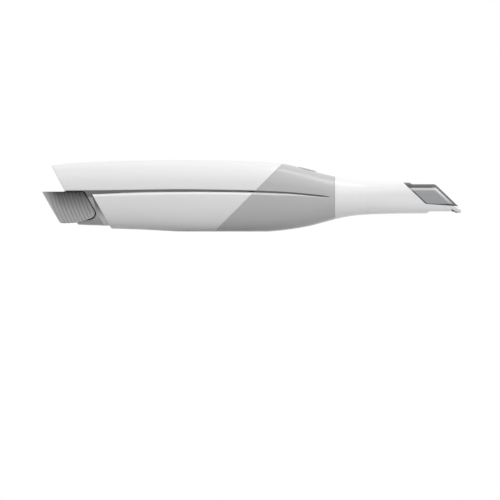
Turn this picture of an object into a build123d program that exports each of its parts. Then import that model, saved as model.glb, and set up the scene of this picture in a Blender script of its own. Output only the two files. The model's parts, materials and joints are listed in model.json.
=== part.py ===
"""Cordless intraoral scanner: a hand-held wand that a dentist moves along the teeth.

The wand lies along X with its battery at -X and its scanning tip at +X, and Z is up. It rests on a
small flat on its belly, at Z zero. Every length is in millimetres. Points of the outline are shares:
an x share counts from the tail along the overall length, a z share counts from the table up the body
height, and a half share counts from the middle plane over half the body width.
"""

import os
from math import cos, radians, sin, sqrt, tan

from build123d import *

os.makedirs("parts", exist_ok=True)

# Overall sizes of the wand
overall_length = 274.0
body_height = 46.6
body_width = 42.0

# Walls and clearances of the mouldings
shell_wall = 1.7
tail_wall = 2.2
joint_gap = 0.08
lip_thickness = 1.0
lip_length = 4.0
lip_clearance = 0.12
groove_depth = 0.9
slip_gap = 0.25
running_gap = 0.05
cut_overrun = 6.0

# Where the mouldings end along the wand
tail_foot_share = 0.0553
lower_tail_share = 0.1172
colour_joint_share = 0.4122
seam_share = 0.6978
snout_end_share = 0.8590
tail_lean = 28.1
lower_lean = 30.6
colour_lean = 45.0

# Stations of the outer form, tail to nose: x, top, bottom, half width and widest level
form_shares = [
    (0.0100, 0.9175, 0.0850, 0.740, 0.545),
    (0.0672, 0.9550, 0.0620, 0.820, 0.550),
    (0.1387, 0.9800, 0.0460, 0.900, 0.557),
    (0.2340, 0.9950, 0.0280, 0.970, 0.573),
    (0.3531, 1.0000, -0.0060, 1.000, 0.579),
    (0.4603, 0.9920, -0.0100, 0.995, 0.574),
    (0.5247, 0.9780, -0.0040, 0.965, 0.566),
    (0.5723, 0.9530, 0.0165, 0.915, 0.550),
    (0.6319, 0.8710, 0.0700, 0.790, 0.523),
    (0.6676, 0.8126, 0.1230, 0.710, 0.503),
    (0.7010, 0.7690, 0.1750, 0.645, 0.472),
    (0.7343, 0.7260, 0.2140, 0.580, 0.470),
    (0.7724, 0.7030, 0.2360, 0.525, 0.4695),
    (0.8487, 0.6940, 0.2490, 0.500, 0.4715),
    (0.9249, 0.6900, 0.2530, 0.500, 0.4715),
    (1.0100, 0.6880, 0.2550, 0.500, 0.4715),
]
# Powers of the rounded section at each station, upper half and lower half
form_powers = [
    (2.9, 2.3),
    (2.9, 2.3),
    (2.9, 2.3),
    (2.9, 2.3),
    (2.9, 2.3),
    (2.9, 2.3),
    (2.9, 2.3),
    (2.8, 2.3),
    (2.7, 2.3),
    (2.6, 2.3),
    (2.4, 2.3),
    (2.4, 2.4),
    (2.5, 2.5),
    (3.0, 3.0),
    (3.6, 3.6),
    (3.8, 3.8),
]
quarter_steps = 5
tip_steps = 2
handle_stations = (0, 11)
tip_stations = (9, 15)
button_station = 8

# Edges of the groove that runs along each side: x, upper edge and lower edge
groove_shares = [
    (0.0100, 0.5690, 0.5080),
    (0.1291, 0.5790, 0.5287),
    (0.1863, 0.5846, 0.5440),
    (0.2816, 0.5930, 0.5580),
    (0.3769, 0.5950, 0.5610),
    (0.4723, 0.5860, 0.5550),
    (0.5676, 0.5664, 0.5340),
    (0.6390, 0.5270, 0.5050),
    (0.6819, 0.4930, 0.4890),
]

# Removable battery: a sealed pack with a ribbed finger grip on its end
grip_outline_shares = [
    (0.0005, 0.558),
    (0.1005, 0.558),
    (0.1325, 0.217),
    (0.0872, 0.123),
    (0.0441, 0.116),
]
grip_half_width = 15.0
grip_toe_radius = 3.3
grip_heel_radius = 2.2
grip_belly_radius = 8.5
grip_rear_radius = 5.5
grip_gap = 0.65
rib_pitch = 2.5
rib_groove_width = 1.0
rib_depth = 0.4
rib_start = 5.0
rib_count = 11
rib_lean = 22.0
grip_front_band = 2.2
case_width = 20.0
case_height = 17.4
case_radius = 6.0
case_bottom = 6.4
case_length = 70.0
case_rear_share = 0.0980
pad_width = 3.0
pad_height = 5.0
pad_thickness = 0.3
pad_pitch = 5.0
pad_count = 3

# Battery bay
bezel_front_share = 0.1768
bezel_bottom_share = 0.0945
bezel_toe_share = 0.0851
sleeve_wall = 1.2
contact_block_length = 5.0
contact_pin_radius = 0.7
contact_gap = 1.4

# Middle frame that the two halves of the body close on
frame_front_share = 0.6340
frame_heel_share = 0.4900
floor_thickness = 1.4
crossbar_length = 7.0
rail_gap = 0.3
standoff_radius = 1.7
pad_post_radius = 2.2

# Main circuit board and what sits on it
board_length = 96.0
board_width = 30.0
board_thickness = 1.2
board_lift = 3.4
board_corner_radius = 3.0
board_rear_share = 0.0950
board_hole_inset_x = 5.0
board_hole_inset_y = 2.0
processor_size = 14.0
processor_height = 1.4
processor_share = 0.62
memory_width = 8.0
memory_length = 11.0
memory_height = 1.1
memory_pitch = 10.5
memory_share = 0.45
shield_length = 20.0
shield_width = 16.0
shield_height = 2.4
shield_wall = 0.4
shield_share = 0.15
antenna_length = 5.0
antenna_width = 18.0
antenna_height = 1.6
connector_length = 5.0
connector_width = 14.0
connector_height = 2.6
spreader_length = 26.0
spreader_width = 22.0
spreader_thickness = 1.0

# Screws
screw_radius = 1.0
screw_head_radius = 1.8
screw_head_height = 1.2
screw_length = 5.0
socket_radius = 0.8
socket_depth = 0.6
thread_gap = 0.02

# Optical bench: a trough that carries the light engine, splitter and focusing lens
optic_axis_share = 0.4725
bench_front_gap = 9.0
bench_length = 59.0
bench_radius = 10.0
bench_wall = 1.4
ear_half_span = 13.6
ear_length = 6.0
ear_thickness = 1.6
ear_rear_offset = 7.0
ear_front_offset = 37.0
ear_hole_y = 11.8
optic_gap = 0.3
sink_length = 10.0
sink_base = 2.0
sink_fin = 0.9
sink_fin_count = 5
sink_fin_pitch = 3.0
led_board_thickness = 1.2
emitter_size = 3.4
emitter_height = 0.8
holder_offset = 13.2
holder_length = 4.0
holder_bore = 5.8
condenser_edge = 1.4
condenser_bulge = 1.8
slide_thickness = 0.8
splitter_offset = 20.0
sensor_board_size = 14.0
sensor_board_thickness = 1.2
sensor_size = 7.0
sensor_height = 1.2
flex_thickness = 0.3
flex_width = 6.0
flex_offset = 3.5
flex_overlap = 3.0
wall_thickness = 1.5
wall_bore = 4.6
rear_wall_offset = 34.0
rod_radius = 0.8
rod_offset = 6.8
carriage_radius = 8.3
carriage_length = 7.0
carriage_offset = 40.5
carriage_bore = 5.2
focus_lens_edge = 2.0
focus_lens_bulge = 1.0
coil_length = 7.0
coil_inner = 5.2
coil_outer = 5.9
magnet_inner = 6.3
magnet_outer = 8.1
magnet_width = 4.6
magnet_length = 4.4

# Lens tube that reaches into the snout
tube_radius = 6.9
tube_wall = 0.8
tube_length = 36.0
tube_flange_radius = 8.2
tube_flange_length = 2.0
lens_edge = 1.6
lens_bulge = 1.1
lens_flat_radius = 0.4
lens_place_shares = [0.10, 0.52, 0.90]

# Snout that the tip slides over
tip_wall = 1.5
snout_wall = 1.4
snout_root = 8.0
window_rebate = 0.7
window_thickness = 1.6
window_recess = 0.3
seal_share = 0.7900
seal_width = 1.8
seal_depth = 0.8
seal_squeeze = 0.03

# Scanning tip: a white sleeve, a grey hood over its end and a mirror inside
hood_outline_shares = [
    (0.8582, 0.7000),
    (0.8771, 0.7000),
    (0.8807, 0.6643),
    (0.9370, 0.6643),
    (0.9924, 0.3525),
    (0.9140, 0.3860),
]
hood_half_width = 10.2
hood_wall = 1.4
hood_inset = 0.12
hood_joint_gap = 0.05
hood_edge_radius = 1.2
nose_outline_shares = [
    (1.0006, 0.3000),
    (0.9960, 0.2480),
    (0.9885, 0.2480),
    (0.9770, 0.2830),
    (0.9230, 0.2830),
    (0.9160, 0.2480),
]
nose_radius = 2.2
tip_plan_radius = 5.0
mirror_setback = 3.3
mirror_thickness = 1.1
mirror_half_width = 7.6
mirror_bottom_share = 0.2640
mirror_top_share = 0.6250
chamber_share = 0.8660
chamber_floor_share = 0.3160
window_start_share = 0.9250
window_end_share = 0.9935
window_half_width = 7.8
window_corner = 1.0

# Scan button on the top of the nose
ring_radius = 6.0
ring_bore = 4.95
ring_rise = 0.35
ring_depth = 1.5
button_radius = 4.85
button_rise = 0.2
button_edge = 0.5
button_dish_radius = 24.0
button_stem_radius = 3.9
button_bore = 4.3
button_travel = 0.7
button_boss_radius = 7.4
button_boss_depth = 4.2
dome_height = 0.55
dome_slant = 45.0
button_board_thickness = 1.0
dome_gap = 0.02


def along(share):
    """X of a place along the wand, counted from the tail."""
    return (share - 1 / 2) * overall_length


def high(share):
    """Z of a place up the body, counted from the table."""
    return share * body_height


def leaning_x(foot_share, lean, z, foot_z=0.0):
    """X at height z of a line that leans towards the tail as it rises, from its foot."""
    return along(foot_share) - (z - foot_z) * tan(radians(lean))


def quarter(half, rise, power, side, up, level):
    """Points of one quarter of the rounded section, from its side to its crown."""
    points = []
    for step in range(quarter_steps + 1):
        turn = radians(90 * step / quarter_steps)
        out = max(cos(turn), 0.0) ** (2 / power)
        climb = max(sin(turn), 0.0) ** (2 / power)
        points.append((side * half * out, level + up * rise * climb))
    return points


def refined_stations(first, last, steps):
    """Stations from the first to the last, with others placed between them on smooth curves."""
    rows = [shares + powers for shares, powers in zip(form_shares, form_powers)]
    slopes = []
    for place in range(len(rows)):
        before = rows[max(place - 1, 0)]
        after = rows[min(place + 1, len(rows) - 1)]
        slopes.append([(end - start) / (after[0] - before[0]) for start, end in zip(before, after)])
    refined = []
    for place in range(first, last):
        span = rows[place + 1][0] - rows[place][0]
        for step in range(steps):
            part = step / steps
            leave = 2 * part**3 - 3 * part**2 + 1
            leave_slope = (part**3 - 2 * part**2 + part) * span
            arrive_slope = (part**3 - part**2) * span
            near = zip(rows[place], slopes[place])
            far = zip(rows[place + 1], slopes[place + 1])
            row = []
            for (start, start_slope), (end, end_slope) in zip(near, far):
                value = leave * start + (1 - leave) * end
                row.append(value + leave_slope * start_slope + arrive_slope * end_slope)
            row[0] = rows[place][0] + part * span
            refined.append(row)
    refined.append(list(rows[last]))
    return refined


def form(stations, inset):
    """The outer form between two stations, drawn in all round by the inset."""
    on_tip = stations == tip_stations
    refined = refined_stations(*stations, tip_steps if on_tip else 1)
    with BuildPart() as body:
        for x_share, top, bottom, half_share, level_share, power_up, power_down in refined:
            half = half_share * body_width / 2 - inset
            level = high(level_share)
            rise = high(top) - inset - level
            fall = level - high(bottom) - inset
            edge_points = [
                *quarter(half, rise, power_up, 1, 1, level)[:-1],
                *quarter(half, rise, power_up, -1, 1, level)[:0:-1],
                *quarter(half, fall, power_down, -1, -1, level)[:-1],
                *quarter(half, fall, power_down, 1, -1, level)[:0:-1],
            ]
            with BuildSketch(Plane(origin=(along(x_share), 0, 0), x_dir=(0, 1, 0), z_dir=(1, 0, 0))):
                with BuildLine():
                    Spline(*edge_points, periodic=True)
                make_face()
        loft(ruled=on_tip)
        if not on_tip:
            split(bisect_by=Plane.XY, keep=Keep.TOP)
    return body.part


def side_prism(points, fillets=()):
    """A block with this outline seen from the side, wider than the wand."""
    with BuildPart() as prism:
        with BuildSketch(Plane.XZ) as sketch:
            with BuildLine():
                Polyline(*points, close=True)
            make_face()
            for place, radius in fillets:
                corner = sketch.vertices().sort_by_distance((points[place][0], points[place][1]))[0]
                fillet(corner, radius)
        extrude(amount=body_width, both=True)
    return prism.part


def side_region(curve_points, far_points):
    """A block bounded by a smooth curve on one side and straight lines on the others."""
    with BuildPart() as region:
        with BuildSketch(Plane.XZ):
            with BuildLine():
                Spline(*curve_points)
                Polyline(curve_points[-1], *far_points, curve_points[0])
            make_face()
        extrude(amount=body_width, both=True)
    return region.part


def slab_between(rear_x, front_x):
    """Everything between two upright planes across the wand."""
    low, top = -cut_overrun, body_height + cut_overrun
    return side_prism([(rear_x, low), (front_x, low), (front_x, top), (rear_x, top)])


def leaning_slab(rear_line, front_line):
    """Everything between two leaning lines; each is a foot share, a lean, a foot height and a shift."""
    low, top = -cut_overrun, body_height + cut_overrun
    corners = []
    for z, order in ((low, (rear_line, front_line)), (top, (front_line, rear_line))):
        for foot_share, lean, foot_z, shift in order:
            corners.append((leaning_x(foot_share, lean, z, foot_z) + shift, z))
    return side_prism(corners)


def rounded_bar(width, tall, radius, middle_z, rear_x, front_x):
    """A bar along the wand with a rounded rectangular section."""
    with BuildPart() as bar:
        with BuildSketch(Plane(origin=(rear_x, 0, middle_z), x_dir=(0, 1, 0), z_dir=(1, 0, 0))):
            RectangleRounded(width, tall, radius)
        extrude(amount=front_x - rear_x)
    return bar.part


def across(x, z=None):
    """A plane square to the wand at x, centred on the optical axis unless z is given."""
    return Plane(origin=(x, 0, optic_z if z is None else z), x_dir=(0, 1, 0), z_dir=(1, 0, 0))


def write(piece, name):
    """Names a finished piece and writes its file."""
    piece.label = name
    export_step(piece, "parts/" + name + ".step")


# Places that several pieces share
seam_x = along(seam_share)
snout_end_x = along(snout_end_share)
optic_z = high(optic_axis_share)
tail_foot_z = high(groove_shares[0][1])
lower_foot_z = high(groove_shares[1][2])
above_z = body_height + cut_overrun
tail_line = (tail_foot_share, tail_lean, tail_foot_z, 0.0)
lower_line = (lower_tail_share, lower_lean, lower_foot_z, 0.0)
colour_line = (colour_joint_share, -colour_lean, 0.0, 0.0)
far_front_line = (form_shares[-1][0], 0.0, 0.0, cut_overrun)
nose_wall = shell_wall + lip_clearance + lip_thickness


def shifted(line, distance):
    """The same leaning line moved along the wand."""
    foot_share, lean, foot_z, shift = line
    return foot_share, lean, foot_z, shift + distance


# The forms and blocks that the mouldings are cut from
outer_form = form(handle_stations, 0.0)
shell_cavity = form(handle_stations, shell_wall)
nose_cavity = form(handle_stations, nose_wall)
groove_floor_form = form(handle_stations, groove_depth)
groove_top = [(along(x), high(upper)) for x, upper, _ in groove_shares]
groove_low = [(along(x), high(lower)) for x, _, lower in groove_shares]
above_groove = side_region(groove_top, [(groove_top[-1][0], above_z), (groove_top[0][0], above_z)])
below_groove = side_region(groove_low, [(groove_low[-1][0], -above_z), (groove_low[0][0], -above_z)])
with BuildPart() as groove_band_block:
    with BuildSketch(Plane.XZ):
        with BuildLine():
            Spline(*groove_top)
            Line(groove_top[-1], groove_low[-1])
            Spline(*groove_low[::-1])
            Line(groove_low[0], groove_top[0])
        make_face()
    extrude(amount=body_width, both=True)
groove_band = groove_band_block.part

# Upper half of the white body, closed at the tail by a leaning wall
with BuildPart() as top_cavity:
    add(shell_cavity)
    add(
        leaning_slab(shifted(tail_line, tail_wall / cos(radians(tail_lean))), far_front_line),
        mode=Mode.INTERSECT,
    )
with BuildPart() as top_shell:
    add(outer_form)
    add(above_groove, mode=Mode.INTERSECT)
    add(leaning_slab(tail_line, colour_line), mode=Mode.INTERSECT)
    add(top_cavity.part, mode=Mode.SUBTRACT)
write(top_shell.part, "top_shell")

# Lower half of the white body, open at the tail for the battery
with BuildPart() as bottom_shell:
    add(outer_form)
    add(below_groove, mode=Mode.INTERSECT)
    add(leaning_slab(lower_line, colour_line), mode=Mode.INTERSECT)
    add(shell_cavity, mode=Mode.SUBTRACT)
write(bottom_shell.part, "bottom_shell")

# Seat of the scan button: a plane that lies on the crest of the nose and follows its slope
button_x = along(form_shares[button_station][0])
button_z = high(form_shares[button_station][1])
slope_x = along(form_shares[button_station + 1][0]) - along(form_shares[button_station - 1][0])
slope_z = high(form_shares[button_station + 1][1]) - high(form_shares[button_station - 1][1])
slope_run = sqrt(slope_x**2 + slope_z**2)
button_plane = Plane(
    origin=(button_x, 0, button_z),
    x_dir=(slope_x / slope_run, 0, slope_z / slope_run),
    z_dir=(-slope_z / slope_run, 0, slope_x / slope_run),
)

# Grey nose: one sleeve with a lip under the white halves, a groove on each side and a button seat
with BuildPart() as nose_lip:
    add(form(handle_stations, shell_wall + lip_clearance))
    add(
        leaning_slab(shifted(colour_line, -lip_length), shifted(colour_line, joint_gap + lip_thickness)),
        mode=Mode.INTERSECT,
    )
with BuildPart() as nose_groove:
    add(outer_form)
    add(groove_floor_form, mode=Mode.SUBTRACT)
    add(groove_band, mode=Mode.INTERSECT)
with BuildPart() as button_boss:
    with BuildSketch(button_plane.offset(-button_boss_depth)):
        Circle(button_boss_radius)
    extrude(amount=button_boss_depth)
    add(outer_form, mode=Mode.INTERSECT)
with BuildPart() as nose_sleeve:
    add(outer_form)
    add(
        leaning_slab(shifted(colour_line, joint_gap), (seam_share, 0.0, 0.0, 0.0)),
        mode=Mode.INTERSECT,
    )
    add(nose_lip.part)
    add(nose_cavity, mode=Mode.SUBTRACT)
    add(button_boss.part)
    add(nose_groove.part, mode=Mode.SUBTRACT)
    with BuildSketch(button_plane.offset(-ring_depth)):
        Circle(ring_radius + running_gap)
    extrude(amount=ring_depth + cut_overrun, mode=Mode.SUBTRACT)
    with BuildSketch(button_plane.offset(-button_boss_depth - cut_overrun)):
        Circle(button_bore)
    extrude(amount=button_boss_depth + cut_overrun, mode=Mode.SUBTRACT)
write(nose_sleeve.part, "nose_sleeve")

# Raised ring round the button
with BuildPart() as button_ring:
    with BuildSketch(button_plane.offset(-ring_depth)):
        Circle(ring_radius)
        Circle(ring_bore, mode=Mode.SUBTRACT)
    extrude(amount=ring_depth + ring_rise)
    fillet(button_ring.edges().group_by(Axis(button_plane.origin, button_plane.z_dir))[-1], ring_rise)
write(button_ring.part, "button_ring")

# Scan button: a dished cap on a stem
with BuildPart() as scan_button:
    with BuildSketch(button_plane.offset(-button_edge)):
        Circle(button_radius)
    extrude(amount=button_edge + button_rise)
    with Locations(button_plane.offset(button_dish_radius)):
        Sphere(button_dish_radius, mode=Mode.SUBTRACT)
    with BuildSketch(button_plane.offset(-button_boss_depth + dome_height + dome_gap + button_travel)):
        Circle(button_stem_radius)
    extrude(amount=button_boss_depth - dome_height - dome_gap - button_travel - button_edge)
write(scan_button.part, "scan_button")

# Snap dome under the stem, on its own small round board
with BuildPart() as snap_dome:
    with BuildSketch(button_plane.offset(-button_boss_depth)):
        Circle(button_stem_radius)
    extrude(amount=dome_height, taper=dome_slant)
write(snap_dome.part, "snap_dome")
with BuildPart() as button_board:
    with BuildSketch(button_plane.offset(-button_boss_depth - button_board_thickness)):
        Circle(button_boss_radius)
    extrude(amount=button_board_thickness)
write(button_board.part, "button_board")

# Battery grip: ribs run round its sides and belly, parallel to its leaning rear face
grip_points = [(along(x), high(z)) for x, z in grip_outline_shares]
grip_top_z = grip_points[0][1]
grip_lean = (grip_points[4][0] - grip_points[0][0]) / (grip_points[0][1] - grip_points[4][1])
lean_run = sqrt(1 + grip_lean**2)


def grip_outline(inset):
    """The grip's outline from the side as a wide block, drawn in by the inset."""
    with BuildPart() as outline:
        with BuildSketch(Plane.XZ) as sketch:
            with BuildLine():
                Polyline(*grip_points, close=True)
            make_face()
            fillet(sketch.vertices().sort_by_distance(grip_points[2])[0], grip_toe_radius)
            fillet(sketch.vertices().sort_by_distance(grip_points[4])[0], grip_heel_radius)
            if inset:
                offset(amount=-inset)
        extrude(amount=body_width, both=True)
    return outline.part


def grip_form(inset):
    """The grip with rounded belly edges and rounded rear corners, drawn in by the inset."""
    half = grip_half_width - inset
    bottom = grip_points[4][1] + inset
    tall = grip_top_z + cut_overrun - bottom
    with BuildPart() as grip:
        add(grip_outline(inset))
        with BuildSketch(across(grip_points[0][0] - cut_overrun, bottom + tall / 2)) as belly:
            Rectangle(2 * half, tall)
            fillet(belly.vertices().group_by(Axis.Z)[0], grip_belly_radius)
        extrude(amount=overall_length / 2, mode=Mode.INTERSECT)
        rear = grip_points[0][0] + inset * lean_run
        with BuildSketch(Plane.XY.offset(grip_top_z)) as plan:
            with Locations((rear + overall_length / 4, 0)):
                Rectangle(overall_length / 2, 2 * half)
            fillet(plan.vertices().group_by(Axis.X)[0], grip_rear_radius)
        extrude(amount=grip_top_z * lean_run, dir=(grip_lean, 0, -1), mode=Mode.INTERSECT)
    return grip.part


grip_outer = grip_form(0.0)
grip_core = grip_form(rib_depth)
rib_high_z = grip_top_z + cut_overrun
rib_run = (rib_high_z + cut_overrun) * tan(radians(rib_lean))
with BuildPart() as rib_grooves:
    for rib in range(rib_count):
        peak_x = grip_points[0][0] + rib_start + rib * rib_pitch - cut_overrun * tan(radians(rib_lean))
        add(
            side_prism(
                [
                    (peak_x, rib_high_z),
                    (peak_x + rib_groove_width, rib_high_z),
                    (peak_x + rib_run + rib_groove_width, -cut_overrun),
                    (peak_x + rib_run, -cut_overrun),
                ]
            )
        )
    add(grip_outline(0.0).moved(Location((-grip_front_band, 0, 0))), mode=Mode.INTERSECT)
    add(grip_core, mode=Mode.SUBTRACT)
with BuildPart() as battery_grip:
    add(grip_outer)
    add(rib_grooves.part, mode=Mode.SUBTRACT)
write(battery_grip.part, "battery_grip")

# Sealed battery pack; its rear end meets the grip
case_rear_x = along(case_rear_share)
case_front_x = case_rear_x + case_length
case_mid_z = case_bottom + case_height / 2
with BuildPart() as battery_case:
    add(rounded_bar(case_width, case_height, case_radius, case_mid_z, case_rear_x, case_front_x))
    add(grip_outline(0.0), mode=Mode.SUBTRACT)
write(battery_case.part, "battery_case")
pad_places = [(place - (pad_count - 1) / 2) * pad_pitch for place in range(pad_count)]
with BuildPart() as battery_contacts:
    with BuildSketch(across(case_front_x, case_mid_z)):
        with Locations(*[(y, 0) for y in pad_places]):
            Rectangle(pad_width, pad_height)
    extrude(amount=pad_thickness)
write(battery_contacts.part, "battery_contacts")

# Passage that the pack slides through, cut from everything round it
passage_width = case_width + 2 * slip_gap
passage_height = case_height + 2 * slip_gap
passage_radius = case_radius + slip_gap
block_rear_x = case_front_x + pad_thickness + contact_gap
block_front_x = block_rear_x + contact_block_length
passage = rounded_bar(
    passage_width, passage_height, passage_radius, case_mid_z, case_rear_x - cut_overrun, block_front_x
)
with BuildPart() as grip_pocket:
    with BuildSketch(Plane.XZ) as pocket_sketch:
        with BuildLine():
            Polyline(*grip_points, close=True)
        make_face()
        fillet(pocket_sketch.vertices().sort_by_distance(grip_points[2])[0], grip_toe_radius)
        offset(amount=grip_gap)
    extrude(amount=body_width, both=True)

# Grey bezel round the mouth of the battery bay
bezel_front_x = along(bezel_front_share)
bezel_bottom_z = high(bezel_bottom_share / 2)
bezel_top_z = high(groove_shares[1][2]) - high(bezel_bottom_share) / 2
with BuildPart() as rear_bezel:
    add(form(handle_stations, shell_wall + lip_clearance))
    add(
        side_prism(
            [
                (along(bezel_toe_share), bezel_bottom_z),
                (bezel_front_x, bezel_bottom_z),
                (bezel_front_x, bezel_top_z),
                (grip_points[1][0] - cut_overrun, bezel_top_z),
            ]
        ),
        mode=Mode.INTERSECT,
    )
    add(grip_pocket.part, mode=Mode.SUBTRACT)
    add(passage, mode=Mode.SUBTRACT)
write(rear_bezel.part, "rear_bezel")

# Plastic sleeve of the battery bay and the spring contacts at its far end
with BuildPart() as battery_sleeve:
    add(
        rounded_bar(
            passage_width + 2 * sleeve_wall,
            passage_height + 2 * sleeve_wall,
            passage_radius + sleeve_wall,
            case_mid_z,
            bezel_front_x,
            block_front_x,
        )
    )
    add(passage, mode=Mode.SUBTRACT)
write(battery_sleeve.part, "battery_sleeve")
with BuildPart() as contact_block:
    add(rounded_bar(case_width, case_height, case_radius, case_mid_z, block_rear_x, block_front_x))
write(contact_block.part, "contact_block")
with BuildPart() as contact_pins:
    with BuildSketch(across(case_front_x + pad_thickness, case_mid_z)):
        with Locations(*[(y, 0) for y in pad_places]):
            Circle(contact_pin_radius)
    extrude(amount=contact_gap)
write(contact_pins.part, "contact_pins")

# Middle frame: its edge is the floor of the groove, and it carries the board and the optics
bench_front_x = seam_x - bench_front_gap
bench_rear_x = bench_front_x - bench_length
bay_half = passage_width / 2 + sleeve_wall + rail_gap
fork_half = bench_radius + rail_gap
fork_rear_x = block_front_x + rail_gap + crossbar_length
ear_places_x = [bench_rear_x + ear_rear_offset, bench_rear_x + ear_front_offset]
ear_top_z = optic_z + ear_thickness
board_rear_x = along(board_rear_share)
board_bottom_z = high(groove_shares[4][1]) + board_lift
board_top_z = board_bottom_z + board_thickness
board_hole_xs = [board_rear_x + board_hole_inset_x, board_rear_x + board_length - board_hole_inset_x]
board_hole_y = board_width / 2 - board_hole_inset_y
board_holes = [(x, side * board_hole_y) for x in board_hole_xs for side in (-1, 1)]
ear_holes = [(x, side * ear_hole_y) for x in ear_places_x for side in (-1, 1)]
frame_low_z = high(groove_shares[1][2])
heel_z = high(frame_heel_share)
lip_rear_line = shifted(colour_line, -lip_length - rail_gap)
with BuildPart() as frame_edge:
    add(groove_floor_form)
    add(groove_band, mode=Mode.INTERSECT)
    add(leaning_slab(shifted(lower_line, -cut_overrun), lip_rear_line), mode=Mode.INTERSECT)
with BuildPart() as frame_heel:
    add(groove_floor_form)
    add(
        side_prism(
            [
                (grip_points[1][0] - cut_overrun, heel_z),
                (leaning_x(lower_tail_share, lower_lean, heel_z, lower_foot_z), heel_z),
                (leaning_x(lower_tail_share, lower_lean, frame_low_z, lower_foot_z), frame_low_z),
                (leaning_x(lower_tail_share, lower_lean, frame_low_z, lower_foot_z), tail_foot_z),
                (grip_points[1][0] - cut_overrun, tail_foot_z),
            ]
        ),
        mode=Mode.INTERSECT,
    )
with BuildPart() as frame_prongs:
    add(form(handle_stations, nose_wall + rail_gap))
    add(groove_band, mode=Mode.INTERSECT)
    add(
        leaning_slab(
            shifted(lip_rear_line, -crossbar_length), (frame_front_share, 0.0, 0.0, 0.0)
        ),
        mode=Mode.INTERSECT,
    )
with BuildPart() as tail_floor:
    add(form(handle_stations, shell_wall + lip_clearance))
    add(
        leaning_slab(
            shifted(tail_line, (tail_wall + lip_clearance) / cos(radians(tail_lean))),
            shifted(lower_line, crossbar_length),
        ),
        mode=Mode.INTERSECT,
    )
    add(
        side_prism(
            [
                (groove_top[0][0], tail_foot_z),
                (bezel_front_x, tail_foot_z),
                (bezel_front_x, tail_foot_z + floor_thickness),
                (groove_top[0][0], tail_foot_z + floor_thickness),
            ]
        ),
        mode=Mode.INTERSECT,
    )
with BuildPart() as mid_frame:
    add(frame_edge.part)
    add(frame_heel.part)
    add(frame_prongs.part)
    add(tail_floor.part)
    add(grip_pocket.part, mode=Mode.SUBTRACT)
    add(passage, mode=Mode.SUBTRACT)
    with BuildSketch(Plane.XY):
        with Locations(((bezel_front_x + block_front_x + rail_gap) / 2, 0)):
            Rectangle(block_front_x + rail_gap - bezel_front_x, 2 * bay_half)
        with Locations(((fork_rear_x + seam_x) / 2, 0)):
            Rectangle(seam_x - fork_rear_x, 2 * fork_half)
    extrude(amount=above_z, mode=Mode.SUBTRACT)
    with BuildSketch(Plane.XY.offset(board_bottom_z)):
        with Locations(*board_holes):
            Circle(standoff_radius)
    extrude(amount=-(board_bottom_z - tail_foot_z))
    with BuildSketch(Plane.XY.offset(ear_top_z)):
        with Locations(*ear_holes):
            Circle(pad_post_radius)
    extrude(amount=tail_foot_z - ear_top_z)
    with BuildSketch(Plane.XY.offset(board_bottom_z)):
        with Locations(*board_holes):
            Circle(screw_radius + thread_gap)
    extrude(amount=-screw_length, mode=Mode.SUBTRACT)
    with BuildSketch(Plane.XY.offset(ear_top_z)):
        with Locations(*ear_holes):
            Circle(screw_radius + thread_gap)
    extrude(amount=screw_length - ear_thickness, mode=Mode.SUBTRACT)
write(mid_frame.part, "mid_frame")


def screws(places, seat_z, way):
    """Socket-head screws at these places; way is 1 where the heads point up and -1 where down."""
    with BuildPart() as group:
        with BuildSketch(Plane.XY.offset(seat_z)):
            with Locations(*places):
                Circle(screw_head_radius)
        extrude(amount=way * screw_head_height)
        with BuildSketch(Plane.XY.offset(seat_z)):
            with Locations(*places):
                Circle(screw_radius)
        extrude(amount=-way * screw_length)
        with BuildSketch(Plane.XY.offset(seat_z + way * screw_head_height)):
            with Locations(*places):
                RegularPolygon(socket_radius, 6)
        extrude(amount=-way * socket_depth, mode=Mode.SUBTRACT)
    return group.part


write(screws(board_holes, board_top_z, 1), "board_screws")
write(screws(ear_holes, optic_z, -1), "bench_screws")

# Main board, with its processor, memory, radio, antenna and connector
board_mid_x = board_rear_x + board_length / 2
with BuildPart() as main_board:
    with BuildSketch(Plane.XY.offset(board_bottom_z)):
        with Locations((board_mid_x, 0)):
            RectangleRounded(board_length, board_width, board_corner_radius)
        with Locations(*board_holes):
            Circle(screw_radius + running_gap, mode=Mode.SUBTRACT)
    extrude(amount=board_thickness)
write(main_board.part, "main_board")


def on_board(length, width, tall, places, base_z):
    """Flat square-edged parts lying at these places on a face of the board."""
    with BuildPart() as group:
        with BuildSketch(Plane.XY.offset(base_z)):
            with Locations(*places):
                Rectangle(length, width)
        extrude(amount=tall)
    return group.part


processor_x = board_rear_x + processor_share * board_length
memory_x = board_rear_x + memory_share * board_length
shield_x = board_rear_x + shield_share * board_length + shield_length / 2
antenna_x = board_rear_x + antenna_length
connector_x = board_rear_x + board_length - connector_length
processor_place = [(processor_x, 0)]
memory_places = [(memory_x, side * memory_pitch / 2) for side in (-1, 1)]
write(on_board(processor_size, processor_size, processor_height, processor_place, board_top_z), "processor")
write(on_board(memory_length, memory_width, memory_height, memory_places, board_top_z), "memory_chips")
write(on_board(antenna_length, antenna_width, antenna_height, [(antenna_x, 0)], board_top_z), "radio_antenna")
write(
    on_board(connector_length, connector_width, connector_height, [(connector_x, 0)], board_top_z),
    "board_connector",
)
write(
    on_board(
        spreader_length, spreader_width, spreader_thickness, processor_place, board_top_z + processor_height
    ),
    "heat_spreader",
)
with BuildPart() as radio_shield:
    add(on_board(shield_length, shield_width, shield_height, [(shield_x, 0)], board_top_z))
    add(
        on_board(
            shield_length - 2 * shield_wall,
            shield_width - 2 * shield_wall,
            shield_height - shield_wall,
            [(shield_x, 0)],
            board_top_z,
        ),
        mode=Mode.SUBTRACT,
    )
write(radio_shield.part, "radio_shield")

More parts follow.
